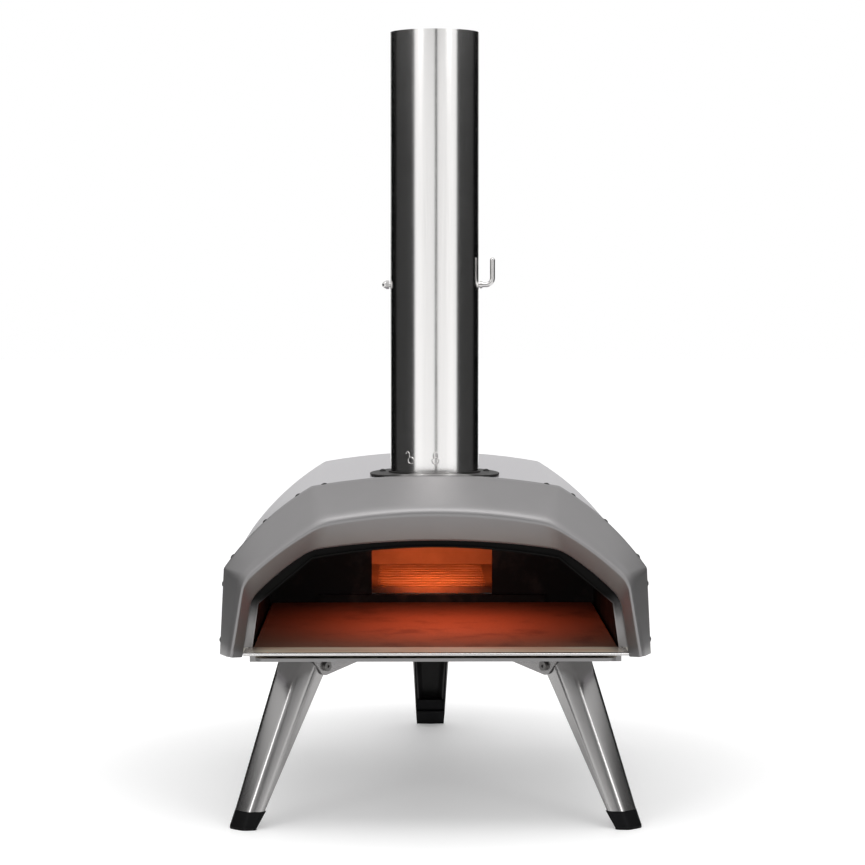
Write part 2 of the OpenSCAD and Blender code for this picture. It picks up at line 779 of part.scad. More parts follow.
// A bent rod: two legs out from the tray's face and a bar across
module fuel_tray_handle() {
  r = 4;
  bend = 10;
  half = tray_half - 19;
  y0 = tray_face_y + sheet_t;
  bar_y = end_y - r;
  color(black_c) translate([0, 0, tray_z + tray_h / 2]) {
    both_sides() {
      translate([half, y0, 0]) rotate([-90, 0, 0]) cylinder(h = bar_y - bend - y0, r = r);
      translate([half, y0, 0]) rotate([-90, 0, 0]) cylinder(h = 2, r = 7);
      translate([half - bend, bar_y - bend, 0]) rotate_extrude(angle = 90) translate([bend, 0]) circle(r);
    }
    bar_x(bend - half, half - bend, bar_y, 0, r);
  }
}

// Chimney: sleeve, collar, tube and damper

tube_r = chimney_d / 2;
collar_r = tube_r + collar_w;
bore_r = tube_r - tube_t;
sleeve_r = bore_r - apart;
seat_z = crown_z - shell_in + seat_h;
chimney_z = seat_z + apart;
rod_z = chimney_z + damper_up;
rod_r = rod_d / 2;

module flue_sleeve() {
  z0 = crown_z - wall_t - 2;
  h = chimney_z + sleeve_up - z0;
  color(steel_c) translate([0, chimney_y, z0]) difference() {
    cylinder(h = h, r = sleeve_r);
    translate([0, 0, -1]) cylinder(h = h + 2, r = sleeve_r - sheet_t);
  }
}

// A saddle plate under a flat seat for the chimney. Its bend is wider than the roof's, so that its
// side edges stand free.
module chimney_collar() {
  plate_t = 1.4;
  press = 0.2;
  seat_r = tube_r + 1.5;
  roof = roof_r - shell_in + lap;
  bend = 1.7 * roof;
  top = crown_z - roof_r + roof - press;
  low = crown_z - 12;
  color(steel_c) translate([0, chimney_y, 0]) difference() {
    union() {
      intersection() {
        along_y(-collar_r, collar_r) translate([0, top - bend]) difference() {
          circle(bend + plate_t, $fn = arc_fn);
          circle(bend, $fn = arc_fn);
        }
        translate([0, 0, low]) cylinder(h = 20, r = collar_r);
      }
      translate([0, 0, low]) cylinder(h = seat_z - low, r = seat_r);
    }
    along_y(-2 * collar_r, 2 * collar_r) translate([0, crown_z - roof_r]) circle(roof, $fn = arc_fn);
    translate([0, 0, low]) cylinder(h = 40, r = sleeve_r + lap);
  }
}

module chimney_tube() {
  color(steel_c) translate([0, chimney_y, 0]) difference() {
    translate([0, 0, chimney_z]) cylinder(h = chimney_h, r = tube_r);
    translate([0, 0, chimney_z - 1]) cylinder(h = chimney_h + 2, r = bore_r);
    bar_x(-tube_r - 1, tube_r + 1, 0, rod_z, rod_r + running);
  }
}

nut_x = tube_r + 0.8;
stud_r = 2;
stud_l = 4.6;
rivet_x = 20;
rivet_r = 1.5;
plate_y = rod_r + lap;
damper_t = 1.5;

module at_damper() {
  translate([0, chimney_y, rod_z]) children();
}

module rivet_bores() {
  for (x = [-rivet_x, rivet_x])
    translate([x, 0, 0]) rotate([-90, 0, 0]) cylinder(h = 20, r = rivet_r + running, center = true);
}

module damper_plate() {
  color(steel_c) at_damper() difference() {
    translate([0, plate_y, 0]) rotate([-90, 0, 0]) cylinder(h = damper_t, r = bore_r - damper_gap);
    rivet_bores();
  }
}

// The rod crosses the tube and turns up into its handle
module damper_rod() {
  bend_x = tube_r + handle_out - rod_bend;
  stop_r = rod_r + 1.2;
  color(steel_c) at_damper() difference() {
    union() {
      bar_x(-nut_x, bend_x, 0, 0, rod_r);
      bar_x(-nut_x - stud_l, -nut_x, 0, 0, stud_r);
      bar_x(tube_r + 0.7, tube_r + 3, 0, 0, stop_r);
      translate([bend_x, 0, rod_bend]) rotate([90, 0, 0]) rotate([0, 0, -90])
        rotate_extrude(angle = 90) translate([rod_bend, 0]) circle(rod_r);
      translate([bend_x + rod_bend, 0, rod_bend]) cylinder(h = handle_up - rod_bend - rod_r, r = rod_r);
      translate([bend_x + rod_bend, 0, handle_up - rod_r]) sphere(rod_r);
    }
    rivet_bores();
  }
}

module damper_rivets() {
  head_h = 1.2;
  back = plate_y + damper_t + lap;
  front = -rod_r - lap;
  color(steel_c) at_damper() for (x = [-rivet_x, rivet_x]) translate([x, 0, 0]) rotate([-90, 0, 0]) {
    translate([0, 0, front - head_h]) cylinder(h = back - front + 2 * head_h, r = rivet_r);
    translate([0, 0, front - head_h]) cylinder(h = head_h, r = 2 * rivet_r);
    translate([0, 0, back]) cylinder(h = head_h, r = 2 * rivet_r);
  }
}

module damper_cap_nut() {
  flats = 7.2;
  hex_l = 3.2;
  dome_r = flats / 2 - 0.1;
  color(steel_c) at_damper() translate([-nut_x - lap, 0, 0]) rotate([0, -90, 0]) difference() {
    union() {
      cylinder(h = hex_l, d = flats / cos(30), $fn = 6);
      rotate_extrude() intersection() {
        translate([0, hex_l]) circle(dome_r);
        translate([0, hex_l - 1]) square(flats);
      }
    }
    translate([0, 0, -1]) cylinder(h = stud_l + 1, r = stud_r + running);
  }
}

// Legs: folded channels in a hinge frame. x is the hinge axis, y points out, z = 0 is the pivot.

pivot_z = pan_z - pivot_drop;
front_pivot = [body_half - front_pivot_in, front_pivot_y, pivot_z];
rear_pivot = [0, rear_y + rear_pivot_y, pivot_z];
bolt_r = bolt_d / 2;
ear_r = pivot_drop - 0.7;
ear_half = web_w[0] / 2 + slant_w[0];
cheek_in = ear_half + 0.6;
cheek_out = cheek_in + leg_t;

module at_front_left() {
  translate([-front_pivot.x, front_pivot.y, front_pivot.z]) rotate([0, 0, 180 - leg_turn]) children();
}

module at_front_right() {
  mirror([1, 0, 0]) at_front_left() children();
}

module at_rear() {
  translate(rear_pivot) children();
}

function level(v, z) = lerp(v[0], v[1], -z / pivot_z);

side_bend = 2.5;

// Left half of the leg's outline at height z, from its free edge to its web, set in by t
function leg_half(z, t, open) =
  let (w = level(web_w, z) / 2, s = level(slant_w, z), d = level(slant_d, z), f = level(flange_d, z),
    y = level(web_reach, z), edge = [-w - s + t, y - d - f - open], side = [-w - s + t, y - d - t / 3],
    web = [-w + 0.6 * t, y - t], mid = [0, y - t])
  concat([edge], turn_points(edge, side, web, min(side_bend, norm(edge - side) / 2), 2),
    turn_points(side, web, mid, leg_bend - t, 3));

function leg_points(z, t, open) =
  let (half = leg_half(z, t, open)) concat(half, [for (i = [len(half) - 1:-1:0]) [-half[i].x, half[i].y]]);

module slab(z, t, open) {
  translate([0, 0, z]) linear_extrude(0.01) polygon(leg_points(z, t, open));
}

leg_low = foot_h - pivot_z + lap;
leg_top = pivot_drop - apart;
channel_open = 40;

module leg() {
  color(steel_c) difference() {
    union() {
      difference() {
        hull() {
          slab(leg_top - 0.01, 0, 0);
          slab(leg_low, 0, 0);
        }
        hull() {
          slab(leg_top + 2, leg_t, channel_open);
          slab(leg_low - 2, leg_t, channel_open);
        }
        block([-2 * ear_half, -2 * ear_half, 0], [2 * ear_half, 0, 2 * ear_half]);
      }
      both_sides() bar_x(ear_half - leg_t, ear_half, 0, 0, ear_r);
    }
    bar_x(-2 * ear_half, 2 * ear_half, 0, 0, bolt_r + running);
  }
}

// A moulded cap with a flat sole, and a tongue that plugs the channel
module foot() {
  sole = 2;
  tongue = 14;
  crease = 2;
  back_y = level(web_reach, -pivot_z) - level(slant_d, -pivot_z) - level(flange_d, -pivot_z);
  top = foot_h - pivot_z;
  outline = concat(leg_points(-pivot_z, 0, 0), [[0, back_y - crease]]);
  color(black_c) {
    translate([0, 0, -pivot_z]) linear_extrude(sole) polygon(outline);
    hull() {
      translate([0, 0, sole - pivot_z - 0.5]) linear_extrude(0.01) polygon(outline);
      slab(top - 0.01, 0, crease);
    }
    hull() {
      slab(top - 0.5, leg_t + 0.4, -1);
      slab(top + tongue, leg_t + 0.6, -2);
    }
  }
}

// Point where a line from p touches the circle of radius r round the pivot
function touch(p, r, way) =
  let (a = atan2(p.y, p.x) + way * acos(r / norm(p))) r * [cos(a), sin(a)];

// Two triangular cheeks under a plate that is welded to the pan
module leg_bracket() {
  cheek_r = 8.6;
  outer = [17, pivot_drop];
  inner = [-90, pivot_drop];
  inset = 2;
  color(steel_c) difference() {
    union() {
      both_sides() along_x(cheek_in, cheek_out) {
        circle(cheek_r);
        polygon([outer, inner, touch(inner, cheek_r, 1), touch(outer, cheek_r, -1)]);
      }
      block([-cheek_out, inner.x + inset, pivot_drop - leg_t], [cheek_out, inset - outer.x, pivot_drop]);
    }
    block([-2 * cheek_out, inner.x, pivot_drop], [2 * cheek_out, outer.x, 2 * cheek_r]);
    bar_x(-2 * cheek_out, 2 * cheek_out, 0, 0, bolt_r + running);
  }
}

module pivot_bolt() {
  head_h = 2.8;
  socket = 3.4;
  difference() {
    union() {
      bar_x(-cheek_out - head_h, cheek_out + 4.5, 0, 0, bolt_r);
      bar_x(-cheek_out - lap - head_h, -cheek_out - lap, 0, 0, 4.6);
    }
    translate([-cheek_out - head_h - 1, 0, 0]) rotate([0, 90, 0]) cylinder(h = 2.6, d = socket, $fn = 6);
  }
}

module pivot_nut() {
  difference() {
    translate([cheek_out + lap, 0, 0]) rotate([0, 90, 0]) cylinder(h = 3.6, d = 8 / cos(30), $fn = 6);
    bar_x(0, 2 * cheek_out, 0, 0, bolt_r + running);
  }
}

module left_leg() { at_front_left() leg(); }
module right_leg() { at_front_right() leg(); }
module rear_leg() { at_rear() leg(); }
module left_foot() { at_front_left() foot(); }
module right_foot() { at_front_right() foot(); }
module rear_foot() { at_rear() foot(); }
module left_leg_bracket() { at_front_left() leg_bracket(); }
module right_leg_bracket() { at_front_right() leg_bracket(); }
module rear_leg_bracket() { at_rear() leg_bracket(); }

module leg_pivot_bolts() {
  color(steel_c) {
    at_front_left() pivot_bolt();
    at_front_right() pivot_bolt();
    at_rear() pivot_bolt();
  }
}

module leg_pivot_nuts() {
  color(steel_c) {
    at_front_left() pivot_nut();
    at_front_right() pivot_nut();
    at_rear() pivot_nut();
  }
}

stand() front_frame();
stand() outer_shell();
stand() inner_liner();
stand() insulation_blanket();
stand() mouth_lip();
stand() sill_plate();
stand() base_pan();
stand() baking_stone();
stand() flame_guard();
stand() chamber_back();
stand() rear_insulation();
stand() rear_panel();
stand() firebox_casing();
stand() grate_rails();
stand() fuel_grate();
stand() fuel_tray();
stand() fuel_tray_handle();
stand() fuel_hatch();
stand() hatch_hinge_pin();
stand() hatch_handle_posts();
stand() hatch_handle();
stand() flue_sleeve();
stand() chimney_collar();
stand() chimney_tube();
stand() damper_plate();
stand() damper_rod();
stand() damper_rivets();
stand() damper_cap_nut();
stand() left_leg();
stand() right_leg();
stand() rear_leg();
stand() left_foot();
stand() right_foot();
stand() rear_foot();
stand() left_leg_bracket();
stand() right_leg_bracket();
stand() rear_leg_bracket();
stand() leg_pivot_bolts();
stand() leg_pivot_nuts();
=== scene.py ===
# %% [markdown]
# The oven is a steel vault on three folding legs, with a chimney on its roof and a firebox behind it.
# Every piece already exists at its real size in the imported model, so this file only dresses it.
# We load the model first and keep its box; nothing made here changes the oven's size. Nothing made
# here may change the oven's size.

# %% Load the imported oven
import math

import bpy
from mathutils import Matrix, Vector
from mathutils.bvhtree import BVHTree


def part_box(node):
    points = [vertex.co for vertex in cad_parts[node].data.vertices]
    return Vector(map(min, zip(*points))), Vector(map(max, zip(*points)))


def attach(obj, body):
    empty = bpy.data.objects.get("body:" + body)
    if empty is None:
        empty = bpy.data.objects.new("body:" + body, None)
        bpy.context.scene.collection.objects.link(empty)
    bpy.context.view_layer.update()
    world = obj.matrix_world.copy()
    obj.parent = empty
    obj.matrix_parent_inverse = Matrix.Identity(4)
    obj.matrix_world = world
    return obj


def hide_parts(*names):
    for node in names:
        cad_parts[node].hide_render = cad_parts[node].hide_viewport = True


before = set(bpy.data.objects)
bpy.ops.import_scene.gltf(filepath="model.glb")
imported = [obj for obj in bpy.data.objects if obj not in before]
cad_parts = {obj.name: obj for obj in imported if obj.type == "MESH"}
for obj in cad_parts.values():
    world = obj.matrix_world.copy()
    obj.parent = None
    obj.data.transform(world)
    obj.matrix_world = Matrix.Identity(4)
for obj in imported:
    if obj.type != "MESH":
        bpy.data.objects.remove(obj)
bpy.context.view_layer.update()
scene = bpy.context.scene
MM = 0.001

# %% [markdown]
# The photograph was taken from straight ahead, a little above the oven, with a long lens.
# A camera is placed by its eye point, its turn to the side and its dip, which were fitted to the
# oven's own edges. A long lens far away keeps the chimney upright, as in the photograph.

# %% Camera
face_low, face_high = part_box("front_frame")
RIDGE_Y = face_low.y
EYE = Vector((-0.0270, RIDGE_Y - 2.3046, 0.5023))
YAW = math.radians(0.589)
DIP = math.radians(3.371)
LENS_MM = 105.6
SENSOR_MM = 36


def new_object(name, data):
    made = bpy.data.objects.new(name, data)
    scene.collection.objects.link(made)
    return made


def look_along(made, way):
    """Turns a camera or lamp so that it faces this way."""
    made.rotation_euler = way.to_track_quat("-Z", "Y").to_euler()


camera = new_object("camera", bpy.data.cameras.new("camera"))
camera.location = EYE
look = Vector((math.sin(YAW) * math.cos(DIP), math.cos(YAW) * math.cos(DIP), -math.sin(DIP)))
look_along(camera, look)
camera.data.lens = LENS_MM
camera.data.sensor_width = SENSOR_MM
scene.camera = camera
print("camera looks along", [round(x, 3) for x in look])

# %% [markdown]
# Shader maths reads best as plain sums, so one small class wraps a socket.
# Adding, multiplying or subtracting wires adds Math nodes, and one method, add, makes any other node:
# it takes the node's type, its settings, and values or links for its sockets.

# %% A wire that can be used in sums
def as_value(socket, value):
    """A colour of three numbers gets its alpha where the socket wants four."""
    if isinstance(value, (tuple, list)) and socket.type == "RGBA" and len(value) == 3:
        return (*value, 1.0)
    return value


def find_socket(sockets, key):
    """A socket by its place, its identifier, or its name among those in use."""
    if isinstance(key, int):
        return sockets[key]
    for socket in sockets:
        if socket.identifier == key:
            return socket
    return next(socket for socket in sockets if socket.name == key and socket.enabled)


def plug(node, inputs):
    """Links each wire, and writes each plain value, to the node's socket of that name."""
    for key, value in inputs.items():
        socket = find_socket(node.inputs, key)
        if isinstance(value, Wire):
            node.id_data.links.new(value.socket, socket)
        else:
            socket.default_value = as_value(socket, value)


class Wire:
    """One output socket of a node tree."""

    def __init__(self, socket):
        self.socket = socket

    def add(self, kind, settings=None, inputs=None, out=0):
        """A new node in the same tree, as the wire of one of its outputs."""
        node = self.socket.id_data.nodes.new(kind)
        for name, value in (settings or {}).items():
            setattr(node, name, value)
        plug(node, inputs or {})
        return Wire(find_socket(node.outputs, out))

    def math(self, operation, a, b):
        return self.add("ShaderNodeMath", {"operation": operation}, {0: a, 1: b})

    def __add__(self, other):
        return self.math("ADD", self, other)

    def __sub__(self, other):
        return self.math("SUBTRACT", self, other)

    def __rsub__(self, other):
        return self.math("SUBTRACT", other, self)

    def __mul__(self, other):
        return self.math("MULTIPLY", self, other)

    def __pow__(self, other):
        return self.math("POWER", self, other)

    __radd__ = __add__
    __rmul__ = __mul__


print("wires add, subtract, multiply and take powers")

# %% [markdown]
# Every finish here is built from the same few words: grain of a real size, a soft step between two
# levels, a mix of two colours, and a bump. Object coordinates are metres in the oven's own frame,
# so a grain of 0.4 mm is written as 0.4 mm and stays on its piece when a leg folds.

# %% Words for finishes
STRAIGHT = (0, 0, 0)


def new_finish(name):
    """An empty material, and the wire of its Object coordinates."""
    material = bpy.data.materials.new(name)
    material.use_nodes = True
    coords = material.node_tree.nodes.new("ShaderNodeTexCoord")
    return material, Wire(coords.outputs["Object"])


def finish_with(material, inputs):
    """Fills the shader's sockets, and hands back the finished material."""
    plug(material.node_tree.nodes["Principled BSDF"], inputs)
    print("finish", material.name, "with", len(material.node_tree.nodes), "nodes")
    return material


def even(size):
    return (size, size, size)


def shade(colour, level):
    return tuple(channel * level for channel in colour)


def grain(at, size, turn=STRAIGHT, detail=2.0, rough=0.55):
    """Noise from 0 to 1 whose grains have this size along the turned axes."""
    placed = at.add("ShaderNodeMapping", {"vector_type": "TEXTURE"},
                    {"Vector": at, "Rotation": turn, "Scale": size})
    return at.add("ShaderNodeTexNoise", {},
                  {"Vector": placed, "Scale": 1.0, "Detail": detail, "Roughness": rough})


def sway(pattern, amount):
    """A pattern of 0 to 1 as a change to both sides of nothing, this far from end to end."""
    return (pattern - 0.5) * amount


def step(value, low, high):
    """0 below low, 1 above high, and a soft slope between them."""
    return value.add("ShaderNodeMapRange", {"interpolation_type": "SMOOTHSTEP"},
                     {"Value": value, "From Min": low, "From Max": high})


def mix(factor, a, b):
    """Colour a where the factor is 0, and colour b where it is 1."""
    return factor.add("ShaderNodeMix", {"data_type": "RGBA"},
                      {"Factor_Float": factor, "A_Color": a, "B_Color": b}, "Result_Color")


def bump(height, strength, depth):
    return height.add("ShaderNodeBump", {}, {"Strength": strength, "Distance": depth, "Height": height})


def split(at):
    """The x, y and z wires of a position."""
    x = at.add("ShaderNodeSeparateXYZ", {}, {"Vector": at})
    return x, Wire(x.socket.node.outputs[1]), Wire(x.socket.node.outputs[2])


def unsigned(value):
    return value.math("ABSOLUTE", value, 0.0)


print("words for finishes: grain, sway, step, mix, bump")

# %% [markdown]
# The body, legs and chimney are stainless steel, each rolled and brushed its own way.
# Brushed metal is a mirror with fine scratches along one direction, so its grain is long one way and
# thin the others. The scratches feed roughness and a slight bump, and broad smudges break the sheen.

# %% Brushed steels
STEEL = (0.60, 0.59, 0.585)
SHELL_STEEL = (0.41, 0.397, 0.415)
PAN_STEEL = (0.24, 0.236, 0.236)
BOLT_STEEL = (0.20, 0.195, 0.19)
LONG = 60 * MM
THIN = 0.5 * MM
SCRATCH_DEPTH = 0.006 * MM
SHEET_WAVE = 0.25 * MM


def scratches(at, size, turn=STRAIGHT):
    return grain(at, size, turn, detail=3.0, rough=0.65)


def clouds(at, size):
    return grain(at, even(size), detail=3.0, rough=0.6)


def worked(lines, cloud):
    """Scratches and smudges as one pattern."""
    return lines * 0.6 + cloud * 0.4


def brushed(name, colour, rough, scratch, smudge=0.05, wear=0.04):
    """Steel with scratches of this size, a slight wave of the sheet, and smudges in its sheen."""
    material, at = new_finish(name)
    lines = scratches(at, scratch)
    cloud = clouds(at, 60 * MM)
    wave = grain(at, even(110 * MM), detail=1.0, rough=0.4)
    patchy = step(worked(lines, cloud), 0.3, 0.7)
    return finish_with(material, {
        "Metallic": 1.0,
        "Base Color": mix(patchy, shade(colour, 1 - 2 * wear), shade(colour, 1 + wear)),
        "Roughness": rough + sway(lines, 0.12) + sway(cloud, smudge),
        "Normal": bump(lines * SCRATCH_DEPTH + wave * SHEET_WAVE, 0.5, 1.0)})


shell_steel = brushed("shell_steel", SHELL_STEEL, 0.34, (THIN, LONG, THIN), smudge=0.12, wear=0.07)
pan_steel = brushed("pan_steel", PAN_STEEL, 0.36, (LONG, THIN, THIN))
bolt_steel = brushed("bolt_steel", BOLT_STEEL, 0.3, even(THIN), smudge=0.02)
turned_steel = brushed("turned_steel", STEEL, 0.2, even(THIN), smudge=0.02)

# %% [markdown]
# A leg leans, and its brushing follows it. The texture is turned to the leg's own frame: the hinge's
# turn about the upright, then the lean of the web from the pivot to the floor. In that frame the web is
# a flat at a fixed depth, so the same numbers tell the leg's bright outside from its inner side, which
# is painted dark as shade.

# %% Where a leg's inner side is
PIVOT_Z = 143 * MM
FOOT_OUT = 70 * MM
LEG_LEAN = math.atan2(FOOT_OUT, PIVOT_Z)
LEG_LONG = PIVOT_Z / math.cos(LEG_LEAN)
WEB_DEPTH = 26 * MM * math.cos(LEG_LEAN)
WEB_HALF = 12.75 * MM
WEB_TAPER = 4.75 * MM
SIDE_SLOPE = 1.14
LEG_SHEET = 1.5 * MM
SIDE_ENDS = 7.5 * MM
RIM_BEGINS = 8.5 * MM
LEG_TURNS = {"left": math.radians(140), "right": math.radians(-140), "rear": 0.0}
LEG_PIVOTS = {"left": Vector((-122.3, -253.25, 143)) * MM,
              "right": Vector((122.3, -253.25, 143)) * MM,
              "rear": Vector((0, 150.75, 143)) * MM}


def leg_frame(turn):
    return (Matrix.Rotation(turn, 3, "Z") @ Matrix.Rotation(LEG_LEAN, 3, "X")).to_euler()


def inner_side(at, pivot, turn):
    """1 on the inner faces of a leg's web and slanted sides, and 0 on its outside."""
    here = at.add("ShaderNodeMapping", {"vector_type": "TEXTURE"},
                  {"Vector": at, "Location": pivot, "Rotation": leg_frame(turn)})
    x, y, z = split(here)
    down = z * (-1 / LEG_LONG)
    past_web = unsigned(x) - (WEB_HALF - down * WEB_TAPER)
    outer = past_web.math("MAXIMUM", past_web, 0.0) * SIDE_SLOPE
    deep = step(WEB_DEPTH - y - outer, LEG_SHEET * 0.45, LEG_SHEET * 0.8)
    return deep * (1 - step(past_web, SIDE_ENDS, RIM_BEGINS))


print("legs lean by", round(math.degrees(LEG_LEAN), 1), "degrees")

# %% [markdown]
# The scratches run along the leg, so they take the same turned frame. The inner side is painted a plain
# black that isn't metal, a painted shade for the hollow of the channel under the oven: the mask swaps
# the colour and takes the metal away, and one finish serves the sheet.

# %% Leg steel, brushed along each leg
LEG_DULL = (0.36, 0.353, 0.35)
LEG_BRIGHT = (0.42, 0.412, 0.41)
LEG_SHADE_BLACK = (0.006, 0.0057, 0.0057)
BRACKET_STEEL = (0.36, 0.352, 0.35)


def leg_finish(side):
    turn = LEG_TURNS[side]
    material, at = new_finish("leg_steel_" + side)
    lines = scratches(at, (THIN, THIN, LONG), leg_frame(turn))
    cloud = clouds(at, 60 * MM)
    # the inner side of the channel takes a painted shade: black, without metal
    inner = inner_side(at, LEG_PIVOTS[side], turn)
    steel = mix(worked(lines, cloud), LEG_DULL, LEG_BRIGHT)
    return finish_with(material, {
        "Metallic": 1.0 - inner,
        "Specular IOR Level": 0.2,
        "Base Color": mix(inner, steel, LEG_SHADE_BLACK),
        "Roughness": 0.22 + inner * 0.2 + sway(lines, 0.12) + sway(cloud, 0.05),
        "Normal": bump(lines, 0.05, 0.05 * MM)})


leg_steel = {side: leg_finish(side) for side in LEG_TURNS}
bracket_steel = brushed("bracket_steel", BRACKET_STEEL, 0.26, even(THIN))

# %% [markdown]
# The fascia is a thicker pressing with an even, bead-blasted satin: its grain has no direction.
# Under raking light such a face shows a fine sparkle, which a small bump on a coarse roughness gives.
# Where its rim turns back over the shell a thin dark line is painted into the fold, a painted shadow
# of the gap there.

# %% Fascia satin
FASCIA_STEEL = (0.248, 0.242, 0.244)
FASCIA_D = 45 * MM
SHADOW_LINE_FROM = RIDGE_Y + FASCIA_D + 1.5 * MM
SHADOW_LINE_TO = RIDGE_Y + FASCIA_D + 5 * MM


def satin(name, colour, rough):
    material, at = new_finish(name)
    y = split(at)[1]
    beads = grain(at, even(0.45 * MM), detail=2.0, rough=0.5)
    cloud = clouds(at, 50 * MM)
    # a thin band just behind the rim's bend is darkened: a painted shadow line
    past_first = step(y, SHADOW_LINE_FROM - 0.4 * MM, SHADOW_LINE_FROM)
    past_last = step(y, SHADOW_LINE_TO, SHADOW_LINE_TO + 0.8 * MM)
    shadow_line = past_first * (1 - past_last)
    steel = mix(cloud, shade(colour, 0.94), shade(colour, 1.05))
    return finish_with(material, {
        "Metallic": 0.7,
        "Base Color": mix(shadow_line * 0.85, steel, shade(colour, 0.12)),
        "Roughness": rough + sway(beads, 0.10) + sway(cloud, 0.08),
        "Normal": bump(beads, 0.10, 0.04 * MM)})


fascia_satin = satin("fascia_satin", FASCIA_STEEL, 0.40)

# %% [markdown]
# The chimney is rolled from a brighter sheet, brushed along its length. Inside it is black with soot.
# One material can do both: the distance from the tube's own axis tells the bore from the outside.

# %% Chimney steel with a sooted bore
SOOT = (0.009, 0.008, 0.0075)
CHIMNEY_DULL = (0.75, 0.738, 0.73)
CHIMNEY_BRIGHT = (0.86, 0.848, 0.84)
SHEET = 1.2 * MM
tube_low, tube_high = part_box("chimney_tube")
tube_centre = (tube_low + tube_high) / 2
tube_r = (tube_high.x - tube_low.x) / 2


def chimney_steel():
    material, at = new_finish("chimney_steel")
    x, y = split(at)[:2]
    off = y - tube_centre.y
    from_axis = (x * x + off * off) ** 0.5
    outside = step(from_axis, tube_r - SHEET * 0.7, tube_r - SHEET * 0.4)
    lines = scratches(at, (0.7 * MM, 0.7 * MM, 90 * MM))
    cloud = clouds(at, 80 * MM)
    metal = mix(lines, CHIMNEY_DULL, CHIMNEY_BRIGHT)
    return finish_with(material, {
        "Metallic": outside,
        "Base Color": mix(outside, SOOT, metal),
        "Roughness": 0.8 - outside * (0.63 - sway(lines, 0.10) - sway(cloud, 0.05)),
        "Normal": bump(lines, 0.08, 0.04 * MM)})


chimney = chimney_steel()

# %% [markdown]
# The baking chamber is black: smoke burns onto the liner, the guard and the rails.
# Soot is matt and blotchy, with browner patches where the heat has burnt it off again.

# %% Soot and burnt iron
SOOT_BROWN = (0.028, 0.020, 0.016)
RUST_DARK = (0.17, 0.09, 0.055)
RUST_PALE = (0.22, 0.115, 0.065)


def sooted(name, dark, warm, rough):
    material, at = new_finish(name)
    blotch = grain(at, even(35 * MM), detail=5.0, rough=0.65)
    flake = grain(at, even(1.2 * MM), detail=3.0, rough=0.6)
    burnt = step(blotch, 0.48, 0.68)
    return finish_with(material, {
        "Base Color": mix(burnt, dark, warm),
        "Metallic": 0.3,
        "Roughness": rough + sway(flake, 0.2) - burnt * 0.12,
        "Normal": bump(flake, 0.3, 0.15 * MM)})


soot = sooted("soot", SOOT, SOOT_BROWN, 0.66)
grate_iron = sooted("grate_iron", RUST_DARK, RUST_PALE, 0.72)

# %% [markdown]
# The stone is a slab of fired clay with a grainy, pitted face, scorched in soft patches by use.
# Specks, pits and scorches differ greatly in size, so each has a grain of its own.
# Colour and bump share the specks and the pits, so that a dark spot is also a low one.

# %% Baking stone
CLAY_DARK = (0.145, 0.080, 0.052)
CLAY_PALE = (0.25, 0.144, 0.091)
SCORCH = (0.065, 0.037, 0.026)
PIT = (0.07, 0.045, 0.035)


def baking_stone():
    material, at = new_finish("baking_stone")
    speck = grain(at, even(1.1 * MM), detail=4.0, rough=0.7)
    blotch = grain(at, even(45 * MM), detail=4.0, rough=0.6)
    pits = step(grain(at, even(2.2 * MM), detail=1.0, rough=0.5), 0.70, 0.76)
    clay = mix(step(speck, 0.35, 0.68), CLAY_DARK, CLAY_PALE)
    scorched = mix(step(blotch, 0.50, 0.72) * 0.55, clay, SCORCH)
    return finish_with(material, {
        "Base Color": mix(pits * 0.6, scorched, PIT),
        "Roughness": 0.78 + sway(speck, 0.18),
        "Normal": bump(speck - pits * 1.5, 0.35, 0.25 * MM)})


stone = baking_stone()

# %% [markdown]
# Between the liner and the shell lies a blanket of mineral wool. It hardly shows, but the next reader
# may take the shell off, so it has strands: a grain that is long one way and lies askew.

# %% Fibre wool
WOOL_DARK = (0.62, 0.58, 0.50)
WOOL_PALE = (0.86, 0.83, 0.76)
STRAND = (9 * MM, 0.5 * MM, 0.5 * MM)
ASKEW = (0.3, 0.2, 0.5)


def fibre_wool():
    material, at = new_finish("fibre_wool")
    strands = grain(at, STRAND, ASKEW, detail=3.0, rough=0.7)
    return finish_with(material, {
        "Base Color": mix(strands, WOOL_DARK, WOOL_PALE),
        "Roughness": 0.95,
        "Normal": bump(strands, 0.6, 0.4 * MM)})


wool = fibre_wool()

# %% [markdown]
# The feet and the handles are black mouldings. A moulded grip has a fine leather-like texture that
# softens its highlight; the feet are smoother and a little scuffed where they meet the ground.

# %% Black mouldings
def moulded(name, colour, rough, texture, sheen):
    material, at = new_finish(name)
    pebble = grain(at, even(texture), detail=2.0, rough=0.5)
    scuff = step(grain(at, even(12 * MM), detail=4.0, rough=0.7), 0.56, 0.72)
    return finish_with(material, {
        "Base Color": mix(scuff, colour, shade(colour, 1.7)),
        "Specular IOR Level": sheen,
        "Roughness": rough + scuff * 0.12 + sway(pebble, 0.1),
        "Normal": bump(pebble, 0.25, 0.12 * MM)})


rivet_black = moulded("rivet_black", (0.02, 0.019, 0.019), rough=0.45, texture=0.4 * MM, sheen=0.3)
cap_black = moulded("cap_black", (0.0035, 0.0035, 0.004), rough=0.42, texture=0.5 * MM, sheen=0.1)
grip_black = moulded("grip_black", (0.012, 0.011, 0.011), rough=0.5, texture=0.9 * MM, sheen=0.35)

# %% [markdown]
# The collar under the chimney is black too, but its front lip before the tube is bright steel: a painted
# highlight standing for the reflection along that edge. A mask by place, in front of the tube and near
# its middle, lets the bright steel through.

# %% Collar with a painted highlight on its front lip
PAINT_DARK = (0.026, 0.025, 0.025)
PAINT_PALE = (0.040, 0.039, 0.038)
HIGHLIGHT_STEEL = (0.55, 0.54, 0.535)
TUBE_FRONT = tube_centre.y - tube_r


